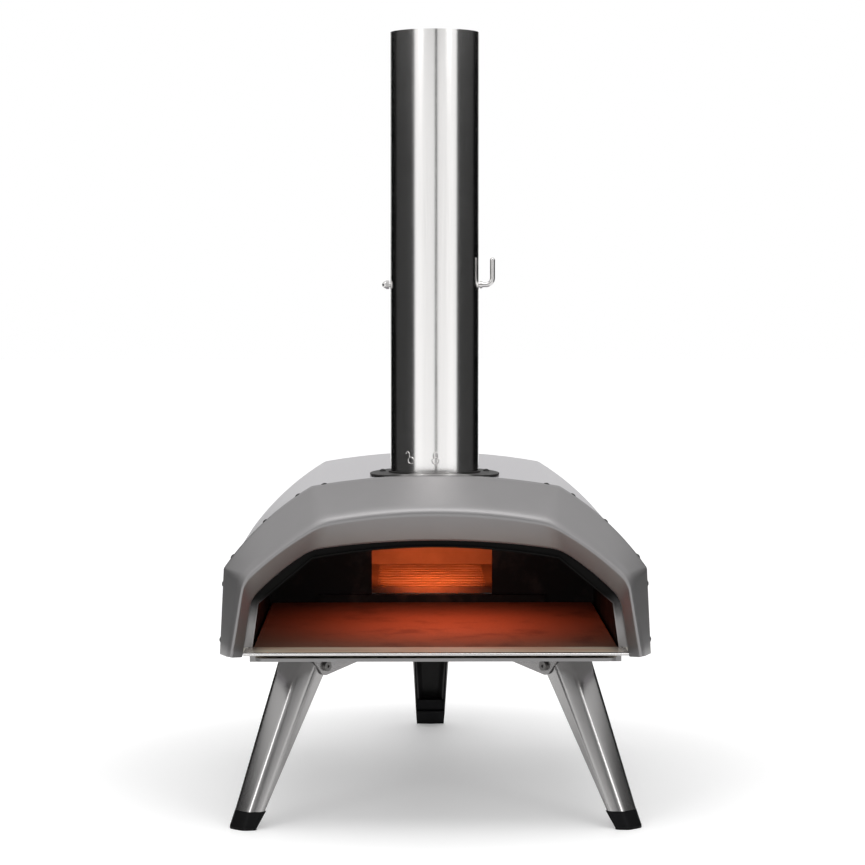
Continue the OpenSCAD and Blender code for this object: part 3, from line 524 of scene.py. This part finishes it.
def collar_paint():
    material, at = new_finish("collar_paint")
    x, y = split(at)[:2]
    pebble = grain(at, even(0.6 * MM), detail=2.0, rough=0.5)
    patchy = clouds(at, 6 * MM)
    # the bright steel lip in front of the tube is a painted highlight
    before = 1 - step(y + patchy * (4 * MM), TUBE_FRONT + 2 * MM, TUBE_FRONT + 9 * MM)
    middle = 1 - step(unsigned(x) + patchy * (6 * MM), 26 * MM, 40 * MM)
    painted_highlight = before * middle
    paint = mix(patchy, PAINT_DARK, PAINT_PALE)
    return finish_with(material, {
        "Metallic": painted_highlight,
        "Specular IOR Level": 0.12,
        "Base Color": mix(painted_highlight, paint, HIGHLIGHT_STEEL),
        "Roughness": 0.55 - painted_highlight * 0.25 + sway(pebble, 0.1),
        "Normal": bump(pebble, 0.2, 0.1 * MM)})


collar_black = collar_paint()

# %% [markdown]
# The trim inside the mouth is the same steel, but all but its feet is black: partly soot, and partly
# painted shade where the trim curls in under the vault. A mask by height with a cloudy edge fades the
# bright feet into black.

# %% Lip darkened by soot and painted shade
LIP_STEEL = (0.36, 0.35, 0.35)
LIP_SOOT_SHADE = (0.005, 0.0046, 0.0043)
lip_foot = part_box("mouth_lip")[0].z


def lip_steel():
    material, at = new_finish("lip_steel")
    z = split(at)[2]
    cloud = grain(at, even(30 * MM), detail=4.0, rough=0.6)
    # black above the feet: partly soot, partly painted shade under the vault
    soot_and_shade = step(z + cloud * (20 * MM), lip_foot + 30 * MM, lip_foot + 60 * MM)
    return finish_with(material, {
        "Metallic": 0.6 - soot_and_shade * 0.6,
        "Specular IOR Level": 0.08,
        "Base Color": mix(soot_and_shade, LIP_STEEL, LIP_SOOT_SHADE),
        "Roughness": 0.36 + soot_and_shade * 0.2 + sway(cloud, 0.08),
        "Normal": bump(grain(at, even(THIN)), 0.08, 0.05 * MM)})


lip_finish = lip_steel()

# %% [markdown]
# The firebox is bright outside and burnt inside. It is one bent sheet, so its finish tells the two
# sides apart by place: what lies more than half a sheet within the outer faces is the inside.

# %% Firebox, burnt inside
BOX_DULL = (0.38, 0.37, 0.38)
BOX_BRIGHT = (0.45, 0.44, 0.45)
BURNT_DARK = (0.10, 0.06, 0.04)
BURNT_PALE = (0.30, 0.17, 0.11)
HALF_SHEET = SHEET / 2
BOX_INNER = 75 * MM - HALF_SHEET
box_low, box_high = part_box("firebox_casing")
box_top = box_low.z + 140 * MM


def firebox_steel():
    material, at = new_finish("firebox_steel")
    x, y, z = split(at)
    side = 1 - step(x * x, BOX_INNER ** 2 * 0.999, BOX_INNER ** 2)
    low = step(z, box_low.z + HALF_SHEET, box_low.z + SHEET)
    top = 1 - step(z, box_top - SHEET, box_top - HALF_SHEET)
    front = 1 - step(y, box_high.y - SHEET, box_high.y - HALF_SHEET)
    inside = side * low * top * front
    lines = scratches(at, (THIN, LONG, THIN))
    cloud = grain(at, even(50 * MM), detail=4.0, rough=0.6)
    steel = mix(cloud, BOX_DULL, BOX_BRIGHT)
    burnt = mix(cloud, BURNT_DARK, BURNT_PALE)
    return finish_with(material, {
        "Metallic": 1.0 - inside * 0.6,
        "Base Color": mix(inside, steel, burnt),
        "Roughness": 0.34 + inside * 0.3 + sway(lines, 0.12),
        "Normal": bump(lines, 0.1, 0.05 * MM)})


firebox_finish = firebox_steel()

# %% [markdown]
# The sill is polished, and its rolled nose and its ends stay bright. Behind the nose a warm colour from
# straw to brown is painted on: a painted reflection of the fire's glow. It is a colour over the metal,
# so the mask also dulls the mirror.

# %% Sill with a painted reflection of the fire
STRAW = (0.84, 0.78, 0.62)
BROWN = (0.78, 0.61, 0.45)
GLOW_HALF = 155 * MM
BARE_FROM = 180 * MM
sill_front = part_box("sill_plate")[0].y


def sill_steel():
    material, at = new_finish("sill_steel")
    x, y = split(at)[:2]
    lines = scratches(at, (LONG, THIN, THIN))
    cloud = grain(at, (60 * MM, 20 * MM, 20 * MM), detail=2.0, rough=0.5)
    behind = step(y, sill_front + 4 * MM, sill_front + 6 * MM)
    # the warm colour behind the nose is a painted reflection of the fire's glow
    painted_glow = behind * (1 - step(unsigned(x), GLOW_HALF, BARE_FROM) * 0.8)
    warm = mix(step(cloud, 0.36, 0.68), STRAW, BROWN)
    return finish_with(material, {
        "Metallic": 1.0 - painted_glow * 0.75,
        "Base Color": mix(painted_glow, STEEL, warm),
        "Roughness": 0.2 + painted_glow * 0.16 + sway(lines, 0.1),
        "Normal": bump(lines * painted_glow, 0.03, 0.05 * MM)})


sill_finish = sill_steel()

# %% [markdown]
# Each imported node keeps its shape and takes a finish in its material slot.

# %% Dress the nodes
FINISHES = {
    "outer_shell": shell_steel, "rear_panel": shell_steel, "fuel_hatch": shell_steel,
    "fuel_tray": shell_steel, "firebox_casing": firebox_finish,
    "front_frame": fascia_satin, "mouth_lip": lip_finish,
    "sill_plate": sill_finish, "base_pan": pan_steel,
    "inner_liner": soot, "chamber_back": soot, "flame_guard": soot, "grate_rails": soot,
    "flue_sleeve": soot, "damper_plate": soot, "fuel_grate": grate_iron,
    "baking_stone": stone, "insulation_blanket": wool, "rear_insulation": wool,
    "chimney_tube": chimney, "chimney_collar": collar_black,
    "damper_rod": turned_steel, "damper_rivets": turned_steel, "damper_cap_nut": turned_steel,
    "hatch_hinge_pin": turned_steel, "hatch_handle_posts": turned_steel,
    "leg_pivot_bolts": bolt_steel, "leg_pivot_nuts": bolt_steel,
    "hatch_handle": grip_black, "fuel_tray_handle": grip_black,
}
for side, steel in leg_steel.items():
    FINISHES[side + "_leg"] = steel
    FINISHES[side + "_leg_bracket"] = bracket_steel
    FINISHES[side + "_foot"] = cap_black
for name, material in FINISHES.items():
    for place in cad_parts[name].material_slots:
        place.material = material
print("dressed", len(FINISHES), "of", len(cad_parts), "nodes")

# %% [markdown]
# Geometry Nodes trees are used three times below, so a few helpers build them: one opens a tree with
# named inputs, one closes it, one turns instances into real faces with a material, and one sets a
# modifier's inputs. A modifier knows its inputs by identifiers, which are looked up by name.

# %% Helpers for Geometry Nodes
def group_tree(name, inputs, output):
    """A new Geometry Nodes group with named sockets, and the wires of its inputs."""
    tree = bpy.data.node_groups.new(name, "GeometryNodeTree")
    for label, kind in inputs:
        tree.interface.new_socket(name=label, in_out="INPUT", socket_type="NodeSocket" + kind)
    tree.interface.new_socket(name=output, in_out="OUTPUT", socket_type="NodeSocketGeometry")
    entry = tree.nodes.new("NodeGroupInput")
    return tree, [Wire(entry.outputs[i]) for i in range(len(inputs))]


def close_tree(tree, result):
    plug(tree.nodes.new("NodeGroupOutput"), {0: result})
    print("tree", tree.name, "has", len(tree.nodes), "nodes")
    return tree


def real_faces(shape, finish):
    """Instances as real faces with a material, which is what an export can keep."""
    solid = shape.add("GeometryNodeRealizeInstances", {}, {"Geometry": shape})
    return shape.add("GeometryNodeSetMaterial", {}, {"Geometry": solid, "Material": finish})


def run_tree(made, label, tree, values):
    """Puts a tree on an object as a modifier, with these values for its named inputs."""
    modifier = made.modifiers.new(label, "NODES")
    modifier.node_group = tree
    for item in tree.interface.items_tree:
        if item.in_out == "INPUT" and item.name in values:
            modifier[item.identifier] = values[item.name]


print("trees open, close, and run on an object")

# %% [markdown]
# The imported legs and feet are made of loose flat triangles, so their bends would show facets.
# A small tree joins the triangles, drops the flat normals they came with, and shades every edge
# smooth that turns by less than a named angle. It changes no shape and stays live.

# %% Smooth the bent sheets
JOIN_WITHIN = 0.01 * MM
SMOOTH_BELOW = math.radians(33)


def smooth_tree():
    tree, (sheet, within, limit) = group_tree(
        "smooth_bends",
        (("Sheet", "Geometry"), ("Join within", "Float"), ("Smooth below", "Float")), "Sheet")
    joined = sheet.add("GeometryNodeMergeByDistance", {}, {"Geometry": sheet, "Distance": within})
    plain = sheet.add("GeometryNodeRemoveAttribute", {}, {"Geometry": joined, "Name": "custom_normal"})
    smooth = sheet.add("GeometryNodeSetShadeSmooth", {"domain": "FACE"}, {0: plain, "Shade Smooth": True})
    angle = sheet.add("GeometryNodeInputMeshEdgeAngle")
    sharp = sheet.add("FunctionNodeCompare", {"data_type": "FLOAT", "operation": "GREATER_THAN"},
                      {"A": angle, "B": limit})
    creased = sheet.add("GeometryNodeSetShadeSmooth", {"domain": "EDGE"},
                        {0: smooth, "Selection": sharp, "Shade Smooth": False})
    return close_tree(tree, creased)


SMOOTH = smooth_tree()
for side in LEG_TURNS:
    for part in ("_leg", "_foot"):
        run_tree(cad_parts[side + part], "bends", SMOOTH,
                 {"Join within": JOIN_WITHIN, "Smooth below": SMOOTH_BELOW})
print("smoothed", 2 * len(LEG_TURNS), "nodes")

# %% [markdown]
# The fascia is the face of the oven: one sheet that runs from the rim over the shell, out to a soft
# ridge, and back in to the mouth. It is lofted through three outlines that share their stations, the
# body's, the ridge's and the inner edge's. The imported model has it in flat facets, so we loft it
# again with finer steps, and let a Solidify modifier give the sheet its thickness.

# %% Outlines of the fascia
shell_low, shell_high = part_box("outer_shell")
BODY_Z = shell_low.z
BODY_HALF = face_high.x
SHOULDER = Vector((196, 81)) * MM
ROOF_EDGE = Vector((115, 156.5)) * MM


def lerp(a, b, t):
    return a + (b - a) * t


def bend_point(a, corner, b, t):
    return lerp(lerp(a, corner, t), lerp(corner, b, t), t)


def steps(count):
    return [i / count for i in range(count + 1)]


def arc_point(a, b, bulge, t):
    """A point of the arc from a to b that bulges outwards."""
    chord = b - a
    radius = (chord.length ** 2 / 4 + bulge ** 2) / (2 * bulge)
    turn = (2 * t - 1) * math.asin(chord.length / 2 / radius)
    along = chord.normalized()
    out = Vector((along.y, -along.x))
    return (a + b) / 2 + along * radius * math.sin(turn) + out * (radius * math.cos(turn) - radius + bulge)


def half_outline(foot, turn, edge, bulge, rise, soft):
    """Right half of an outline, from its foot over the shoulder and the roof edge to the crown."""
    share = soft / (edge - turn).length
    low = lerp(turn, foot, soft / (turn - foot).length)
    over = arc_point(turn, edge, bulge, share)
    under = arc_point(turn, edge, bulge, 1 - share)
    radius = (edge.x ** 2 + rise ** 2) / (2 * rise)

    def roof(t):
        x = lerp(edge.x - soft, 0.0, t)
        return Vector((x, edge.y + rise - radius + math.sqrt(radius ** 2 - x ** 2)))

    points = [lerp(foot, low, t) for t in steps(6)[:-1]]
    points += [bend_point(low, turn, over, t) for t in steps(10)[:-1]]
    points += [arc_point(turn, edge, bulge, lerp(share, 1 - share, t)) for t in steps(14)[:-1]]
    points += [bend_point(under, edge, roof(0), t) for t in steps(10)[:-1]]
    points += [roof(t) for t in steps(14)]
    return points


def outline(foot_in, foot_up, shoulder_in, roof_in, bulge, rise, soft):
    """A whole outline, set in from the body's by these steps, in millimetres."""
    foot = Vector((BODY_HALF - foot_in * MM, foot_up * MM))
    half = half_outline(foot, SHOULDER - Vector(shoulder_in) * MM, ROOF_EDGE - Vector(roof_in) * MM,
                        bulge * MM, rise * MM, soft * MM)
    return half + [Vector((-p.x, p.y)) for p in reversed(half[:-1])]


back_line = outline(foot_in=0, foot_up=1.2, shoulder_in=(0, 0), roof_in=(0, 0),
                    bulge=5.8, rise=10.2, soft=1.5)
ridge_line = outline(foot_in=11.5, foot_up=4.9, shoulder_in=(19.5, 5.2), roof_in=(11.2, 28.3),
                     bulge=3.4, rise=10.1, soft=9)
inner_line = outline(foot_in=20, foot_up=2, shoulder_in=(24.5, 25.3), roof_in=(0.2, 54.4),
                     bulge=2.7, rise=8.7, soft=9)
print("fascia stations:", len(back_line))

# %% [markdown]
# At each station the face has one profile: in from the rim, up to the ridge, and down to the inner
# edge, with a soft bend at every corner. The ridge's bend is longer above than below, as a press
# leaves it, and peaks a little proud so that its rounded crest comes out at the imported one's place.

# %% Profile of the face
RIM = 7 * MM
RIM_BEND = 3 * MM
RIDGE_ABOVE = 14 * MM
RIDGE_BELOW = 5 * MM
RIDGE_PEAK = 2.6 * MM
INNER_Y = 20 * MM
INNER_FLANGE = 7 * MM
EDGE_R = 2.5 * MM


def turn_points(a, corner, b, before, after, count):
    """A soft bend at a corner that starts this far before it and ends this far after it."""
    p = lerp(corner, a, before / (a - corner).length)
    q = lerp(corner, b, after / (b - corner).length)
    return [bend_point(p, corner, q, t) for t in steps(count)]


def face_profile(ridge_in, inner_in):
    """Points (in from the body's outline, behind the ridge) along the sheet's face."""
    rim = Vector((0, FASCIA_D + RIM))
    back = Vector((0, FASCIA_D))
    ridge = Vector((ridge_in, -RIDGE_PEAK))
    inner = Vector((inner_in, INNER_Y))
    end = Vector((inner_in, INNER_Y + INNER_FLANGE))
    turns = (turn_points(rim, back, ridge, RIM_BEND, RIM_BEND, 6),
             turn_points(back, ridge, inner, RIDGE_ABOVE, RIDGE_BELOW, 18),
             turn_points(ridge, inner, end, EDGE_R, EDGE_R, 8))
    return [rim] + [p for turn in turns for p in turn] + [end]


def fascia_station(back, ridge, inner):
    """The face's profile, laid across the three outlines at one station."""
    wide = (ridge - back).length
    deep = (inner - ridge).length
    row = []
    for p in face_profile(wide, wide + deep):
        q = lerp(back, ridge, p.x / wide) if p.x <= wide else lerp(ridge, inner, (p.x - wide) / deep)
        row.append(Vector((q.x, RIDGE_Y + p.y, BODY_Z + q.y)))
    return row


face_rows = [fascia_station(*station) for station in zip(back_line, ridge_line, inner_line)]
print("points on each profile:", len(face_rows[0]))

# %% [markdown]
# The rows of points become a grid of quads. A sheet has a back as well as a face, so a Solidify modifier
# thickens it inwards, and a narrow bevel breaks its cut edges. The result is then settled: it becomes a
# plain mesh without modifiers, smooth but for its sharp edges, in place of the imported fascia.

# %% Loft the fascia
SHARP_FROM = math.radians(35)


def grid_mesh(name, rows):
    """Quads between neighbouring rows of points."""
    width = len(rows[0])
    faces = [(i * width + j, i * width + j + 1, (i + 1) * width + j + 1, (i + 1) * width + j)
             for i in range(len(rows) - 1) for j in range(width - 1)]
    mesh = bpy.data.meshes.new(name)
    mesh.from_pydata([p for row in rows for p in row], [], faces)
    return mesh


def settle(maker, name, material):
    """Turns a maker's evaluated shape into a plain smooth mesh with its own object."""
    depsgraph = bpy.context.evaluated_depsgraph_get()
    mesh = bpy.data.meshes.new_from_object(maker.evaluated_get(depsgraph))
    bpy.data.objects.remove(maker)
    mesh.materials.clear()
    mesh.materials.append(material)
    mesh.shade_smooth()
    mesh.set_sharp_from_angle(angle=SHARP_FROM)
    print(name, "has", len(mesh.polygons), "faces")
    return new_object(name, mesh)


maker = new_object("fascia_maker", grid_mesh("fascia_maker", face_rows))
thick = maker.modifiers.new("thickness", "SOLIDIFY")
thick.thickness = SHEET
thick.offset = -1
edges = maker.modifiers.new("edges", "BEVEL")
edges.width = 0.3 * MM
edges.segments = 2
edges.limit_method = "ANGLE"
edges.angle_limit = math.radians(60)
fascia = settle(maker, "fascia_sheet", fascia_satin)
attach(fascia, "oven")
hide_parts("front_frame")

# %% [markdown]
# Rivets hold the fascia's rim to the shell, and the same round heads hold the rear panel.
# They repeat along an outline, so one Geometry Nodes tree sets a domed head on every point of a
# small cloud, turned to that point's own outward direction. Its sizes are named inputs.

# %% A tree that sets domed heads
def dome_tree():
    tree, (points, radius, height, finish) = group_tree(
        "domed_heads", (("Points", "Geometry"), ("Head radius", "Float"), ("Head height", "Float"),
                        ("Finish", "Material")), "Heads")
    ball = points.add("GeometryNodeMeshUVSphere", {}, {"Segments": 24, "Rings": 16, "Radius": 1.0})
    x, y, z = split(points.add("GeometryNodeInputPosition"))
    up = z.math("MAXIMUM", z, 0.0)
    shape = points.add("ShaderNodeCombineXYZ", {}, {"X": x * radius, "Y": y * radius, "Z": up * height})
    dome = points.add("GeometryNodeSetPosition", {}, {"Geometry": ball, "Position": shape})
    out = points.add("GeometryNodeInputNamedAttribute", {"data_type": "FLOAT_VECTOR"},
                     {"Name": "out"}, "Attribute")
    turned = points.add("FunctionNodeAlignRotationToVector", {"axis": "Z"}, {"Vector": out})
    heads = points.add("GeometryNodeInstanceOnPoints", {},
                       {"Points": points, "Instance": dome, "Rotation": turned})
    return close_tree(tree, real_faces(heads, finish))


DOMES = dome_tree()


def tree_piece(name, mesh, tree, values, body):
    """What a tree makes of a mesh of points or paths, as one piece that rides on a body."""
    maker = new_object(name + "_maker", mesh)
    run_tree(maker, "maker", tree, values)
    piece = settle(maker, name, values["Finish"])
    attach(piece, body)


def domes(name, spots, head, material, body):
    """Domed heads (radius, height) on spots (place, outward direction)."""
    mesh = bpy.data.meshes.new(name)
    mesh.from_pydata([place for place, out in spots], [], [])
    ways = mesh.attributes.new("out", "FLOAT_VECTOR", "POINT")
    ways.data.foreach_set("vector", [c for place, out in spots for c in out])
    radius, height = head
    tree_piece(name, mesh, DOMES,
               {"Head radius": radius, "Head height": height, "Finish": material}, body)


# %% [markdown]
# The rim's rivets follow the fascia's own outline. Each wanted place snaps to the nearest point of a
# finely cut outline, and the outline's direction there tells which way the head faces.

# %% Rivets along the rim
RIVET_HEAD = (3.3 * MM, 2.3 * MM)
RIVET_Y = RIDGE_Y + 49.5 * MM
RIM_RIVETS = [(199, 15.6), (197, 67), (188.5, 92), (159, 124), (129.5, 150), (102.5, 158)]


def both_sides(spots):
    """Spots (x, z) in millimetres, and their mirror images on the left, in metres."""
    return [(side * x * MM, z * MM) for x, z in spots for side in (1, -1)]


def outline_spot(line, wanted_x, wanted_z, y):
    """The spot of an outline nearest to a wanted place, with the outline's outward direction."""
    wanted = Vector((wanted_x, wanted_z))
    i = min(range(1, len(line) - 1), key=lambda k: (line[k] - wanted).length)
    along = (line[i + 1] - line[i - 1]).normalized()
    return Vector((line[i].x, y, BODY_Z + line[i].y)), Vector((along.y, 0, -along.x))


fine_back = [lerp(a, b, t) for a, b in zip(back_line, back_line[1:]) for t in (0, 0.25, 0.5, 0.75)]
rim_spots = [outline_spot(fine_back, x, z, RIVET_Y) for x, z in both_sides(RIM_RIVETS)]
domes("fascia_rivets", rim_spots, RIVET_HEAD, rivet_black, "oven")

# %% [markdown]
# The same heads hold the rear panel, the firebox's flange and the chimney's collar.
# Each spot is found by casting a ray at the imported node, so a head always sits on the real surface.

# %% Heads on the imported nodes
PANEL_HEAD = (2.6 * MM, 1.5 * MM)
SCREW_HEAD = (3.2 * MM, 2.0 * MM)
REAR_INSET = 9 * MM
FLANGE_SPOTS = [(82.5, 176), (82.5, 226), (82.5, 276), (62, 298), (22, 298)]
COLLAR_SPOTS = [(-50, 16), (50, 16), (0, 53)]
OVER_COLLAR = 0.40
FORWARD = Vector((0, -1, 0))
DOWN = Vector((0, 0, -1))


def spots_on(name, starts, way):
    """Where rays from these starts meet a node, with its outward direction there."""
    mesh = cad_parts[name].data
    tree = BVHTree.FromPolygons([v.co for v in mesh.vertices], [p.vertices for p in mesh.polygons])
    found = []
    for start in starts:
        place, out = tree.ray_cast(start, way)[:2]
        found.append((place, -out if out.dot(way) > 0 else out))
    return found


rim_ways = [outline_spot(fine_back, x, z, shell_high.y + 30 * MM) for x, z in both_sides(RIM_RIVETS)]
rear_spots = spots_on("rear_panel", [place - out * REAR_INSET for place, out in rim_ways], FORWARD)
domes("rear_rivets", rear_spots, PANEL_HEAD, rivet_black, "oven")

flange_starts = [Vector((x, shell_high.y + 12 * MM, z)) for x, z in both_sides(FLANGE_SPOTS)]
flange_spots = spots_on("firebox_casing", flange_starts, FORWARD)
domes("flange_rivets", flange_spots, PANEL_HEAD, turned_steel, "oven")

collar_starts = [Vector((x * MM, tube_centre.y + y * MM, OVER_COLLAR)) for x, y in COLLAR_SPOTS]
collar_spots = spots_on("chimney_collar", collar_starts, DOWN)
domes("collar_screws", collar_spots, SCREW_HEAD, rivet_black, "oven")

# %% [markdown]
# A chimney is rolled from a flat sheet and welded along one line, so a low bead runs up its back.
# Near its foot two small padlock signs, one open and one shut, show which way it locks when twisted.
# Seam and signs are all paths on the tube, and one tree sweeps a round bead along any path.

# %% A tree that sweeps beads
def bead_tree():
    tree, (paths, radius, finish) = group_tree(
        "swept_beads", (("Paths", "Geometry"), ("Bead radius", "Float"), ("Finish", "Material")), "Beads")
    curve = paths.add("GeometryNodeMeshToCurve", {}, {"Mesh": paths})
    ring = paths.add("GeometryNodeCurvePrimitiveCircle", {}, {"Resolution": 10, "Radius": radius})
    swept = paths.add("GeometryNodeCurveToMesh", {},
                      {"Curve": curve, "Profile Curve": ring, "Fill Caps": True})
    return close_tree(tree, real_faces(swept, finish))


BEADS = bead_tree()


def beads(name, paths, radius, material, body, slot):
    """Round beads along lists of points."""
    points = []
    edges = []
    for path in paths:
        first = len(points)
        points += path
        edges += [(k, k + 1) for k in range(first, len(points) - 1)]
    mesh = bpy.data.meshes.new(name)
    mesh.from_pydata(points, edges, [])
    tree_piece(name, mesh, BEADS, {"Bead radius": radius, "Finish": material}, body)


# %% [markdown]
# A place on the tube is written as if its sheet lay flat: how far around from the front, and how high.
# The seam is then one straight path at the back, sunk so that only a low, rounded part of it shows.

# %% Seam up the chimney's back
SEAM_R = 1.4 * MM
SEAM_OUT = -0.9 * MM
SEAM_END = 3 * MM
BACK = math.pi * tube_r


def on_tube(across, z, out=0.0):
    """A point of the chimney, this far around from its front, standing out from its face."""
    turn = across / tube_r
    r = tube_r + out
    return Vector((r * math.sin(turn), tube_centre.y - r * math.cos(turn), z))


seam = [on_tube(BACK, lerp(tube_low.z + SEAM_END, tube_high.z - SEAM_END, t), SEAM_OUT) for t in steps(20)]
beads("chimney_seam", [seam], SEAM_R, turned_steel, "chimney", "bright_steel")

# %% [markdown]
# On the flat sheet a padlock is easy to draw: a ring for its body, and half a ring on two short legs for
# its shackle. The open lock's shackle is shifted to one side and has only one leg.

# %% Lock signs
SIGN_R = 0.5 * MM
SIGN_Z = tube_low.z + 11.5 * MM
LOCK_R = 3.2 * MM
SHACKLE_R = 1.9 * MM
SHACKLE_Z = SIGN_Z + 6.2 * MM
SHACKLE_FOOT = SIGN_Z + 2.6 * MM
OPEN_AT = -24 * MM
OPEN_SHIFT = -3.8 * MM
SHUT_AT = 0.2 * MM


def ring_path(across, z, radius, first, last):
    return [on_tube(across + radius * math.cos(a), z + radius * math.sin(a))
            for a in (math.radians(lerp(first, last, t)) for t in steps(28))]


def padlock(across, shift):
    """A round body with a shackle over it, which stands to one side when the lock is open."""
    middle = across + shift
    shackle = ring_path(middle, SHACKLE_Z, SHACKLE_R, 180, 0)
    far = on_tube(middle + SHACKLE_R, SHACKLE_FOOT)
    near = on_tube(middle - SHACKLE_R, SHACKLE_FOOT)
    legs = [[shackle[-1], far]] + ([] if shift else [[near, shackle[0]]])
    return [ring_path(across, SIGN_Z, LOCK_R, 0, 360), shackle] + legs


signs = padlock(OPEN_AT, OPEN_SHIFT) + padlock(SHUT_AT, 0)
beads("lock_signs", signs, SIGN_R, turned_steel, "chimney", "bright_steel")

# %% [markdown]
# The studio is a white room. The world is white where the camera or a mirror looks at it, and softer
# where it only lights. The floor turns fully white away from the oven, and keeps its shadow near it.

# %% Room and floor
WHITE = (1, 1, 1)
BLACK = (0, 0, 0)
ROOM_LIGHT = 0.75
FLOOR_DULL = even(0.90)
FLOOR_PALE = even(0.92)
FLOOR_HALF = 14
SHADOW_TO = 0.27
WHITE_FROM = 0.48
NEAR_GLOW = 0.18
AWAY_GLOW = 0.16


def seen_ray(nodes):
    """1 for the rays that look at the room, and 0 for those that only carry its light."""
    ray = nodes.new("ShaderNodeLightPath")
    seen = Wire(ray.outputs["Is Camera Ray"]) + Wire(ray.outputs["Is Glossy Ray"])
    seen = seen + Wire(ray.outputs["Is Transmission Ray"])
    return seen.math("MINIMUM", seen, 1.0)


def white_world():
    world = bpy.data.worlds.new("white_room")
    world.use_nodes = True
    scene.world = world
    nodes = world.node_tree.nodes
    strength = ROOM_LIGHT + seen_ray(nodes) * (1 - ROOM_LIGHT)
    plug(nodes["Background"], {"Color": WHITE, "Strength": strength})


def floor_white():
    material, at = new_finish("floor_white")
    x, y = split(at)[:2]
    cloud = grain(at, even(0.4), detail=2.0, rough=0.5)
    away = step((x * x + y * y) ** 0.5, SHADOW_TO, WHITE_FROM)
    glow = seen_ray(material.node_tree.nodes) * (NEAR_GLOW + away * AWAY_GLOW)
    return finish_with(material, {
        "Base Color": mix(cloud, FLOOR_DULL, FLOOR_PALE),
        "Roughness": 0.6,
        "Emission Color": mix(glow, BLACK, WHITE),
        "Emission Strength": 1.0})


def stage_mesh(name, points, faces, material):
    mesh = bpy.data.meshes.new(name)
    mesh.from_pydata(points, [], faces)
    mesh.materials.append(material)
    made = new_object(name, mesh)
    return made


white_world()
corners = [Vector((x, y, 0)) * FLOOR_HALF for x, y in ((-1, -1), (1, -1), (1, 1), (-1, 1))]
stage_mesh("floor", corners, [(0, 1, 2, 3)], floor_white())
print("room and floor set")

# %% [markdown]
# Polished metal shows what stands around it, and only mirrors see these cloths. Curtains left and
# right, grey in front and black behind, with a gap straight behind the oven, give the chimney and
# the legs their dark sides. A narrow dark strip straight ahead draws the thin line up the chimney's
# middle, and a pale flag above it tempers what the slanted sheets mirror.

# %% Curtains
RING_Y = -0.2
CURTAIN_FROM = {"left": -53, "right": 58}
GREY_TO = 116
BLACK_TO = 155
CURTAIN_RINGS = {"tall_": (3.0, 0.05, 1.3), "low_": (1.15, 0.002, 0.57)}


def curtain(name, radius, low, high, first, last, material):
    """An upright strip around the oven, between two directions counted from straight ahead."""
    turns = [math.radians(lerp(first, last, t)) for t in steps(24)]
    ring = [(radius * math.sin(a), RING_Y - radius * math.cos(a)) for a in turns]
    points = [Vector((x, y, z)) for x, y in ring for z in (low, high)]
    faces = [(2 * i, 2 * i + 2, 2 * i + 3, 2 * i + 1) for i in range(len(ring) - 1)]
    strip = stage_mesh(name, points, faces, material)
    strip.visible_camera = False
    strip.visible_diffuse = False
    strip.visible_shadow = False
    strip.visible_transmission = False


def cloth(name, level):
    material, at = new_finish(name)
    weave = grain(at, even(20 * MM))
    return finish_with(material, {
        "Base Color": mix(weave, even(level * 0.9), even(level)),
        "Specular IOR Level": 0.0,
        "Roughness": 1.0})


black_cloth = cloth("black_cloth", 0.004)
grey_cloth = cloth("grey_cloth", 0.05)
for word, first in CURTAIN_FROM.items():
    side = math.copysign(1, first)
    for kind, (radius, low, high) in CURTAIN_RINGS.items():
        curtain(kind + "front_" + word, radius, low, high, first, side * GREY_TO, grey_cloth)
        curtain(kind + "rear_" + word, radius, low, high, side * GREY_TO, side * BLACK_TO, black_cloth)
curtain("dark_strip", radius=2.75, low=0.0, high=2.0, first=0.3, last=5.8, material=black_cloth)
pale_cloth = cloth("pale_cloth", 0.4)
curtain("grey_flag", radius=2.8, low=1.1, high=1.75, first=-34, last=34, material=pale_cloth)

# %% [markdown]
# A mirror shows a lamp on top of the white room, so steel clips soon. The work is therefore split.
# The box overhead lights only matt surfaces and draws the shadow. The box high in front shows only
# in mirrors, and draws the bright line along the fascia's ridge. Weak boxes stand left and right,
# and two small strips put the bright streaks on the legs.

# %% Softboxes
def softbox(name, place, aim, size, power, colour=WHITE):
    light = bpy.data.lights.new(name, "AREA")
    light.shape = "RECTANGLE"
    light.size, light.size_y = size
    light.energy = power
    light.color = colour
    lamp = new_object(name, light)
    lamp.location = place
    look_along(lamp, Vector(aim) - Vector(place))
    print("softbox", name, "of", power, "W")
    return lamp


overhead = softbox("overhead", place=(0, -0.5, 3.0), aim=(0, -0.1, 0), size=(3.0, 2.0), power=20)
overhead.visible_glossy = False
front_top = softbox("front_top", place=(0, -1.1, 2.7), aim=(0, -0.3, 0.25), size=(2.4, 1.1), power=24)
front_top.visible_diffuse = False
for side in (1, -1):
    softbox("front_side", (side * 1.7, -1.9, 0.75), aim=(0, -0.2, 0.4), size=(1.2, 1.6), power=0.6)
    softbox("leg_strip", (side * 1.25, -1.95, 1.25), aim=(0, -0.2, 0.1), size=(0.5, 0.35), power=3)

# %% [markdown]
# The chamber glows warmly, as in use. Two small lamps give that light: one hangs under the vault over
# the stone, and one shines from the chamber through the port onto the grate and the firebox's back.
# Neither shows itself, to the camera or in a mirror.

# %% Warm glow
VAULT_WARM = (1.0, 0.19, 0.085)
PORT_WARM = (1.0, 0.25, 0.085)
vault_glow = softbox("vault_glow", place=(0.01, -0.145, 0.282), aim=(0.01, -0.145, 0),
                     size=(0.12, 0.16), power=0.30, colour=VAULT_WARM)
port_glow = softbox("port_glow", place=(0, -0.03, 0.262), aim=(0, 0.16, 0.195),
                    size=(0.05, 0.04), power=0.36, colour=PORT_WARM)
vault_glow.data.spread = math.radians(130)
port_glow.data.spread = math.radians(58)
for glow in (vault_glow, port_glow):
    glow.visible_camera = False
    glow.visible_glossy = False
scene.view_settings.view_transform = "Standard"
print("curtains and lamps set")
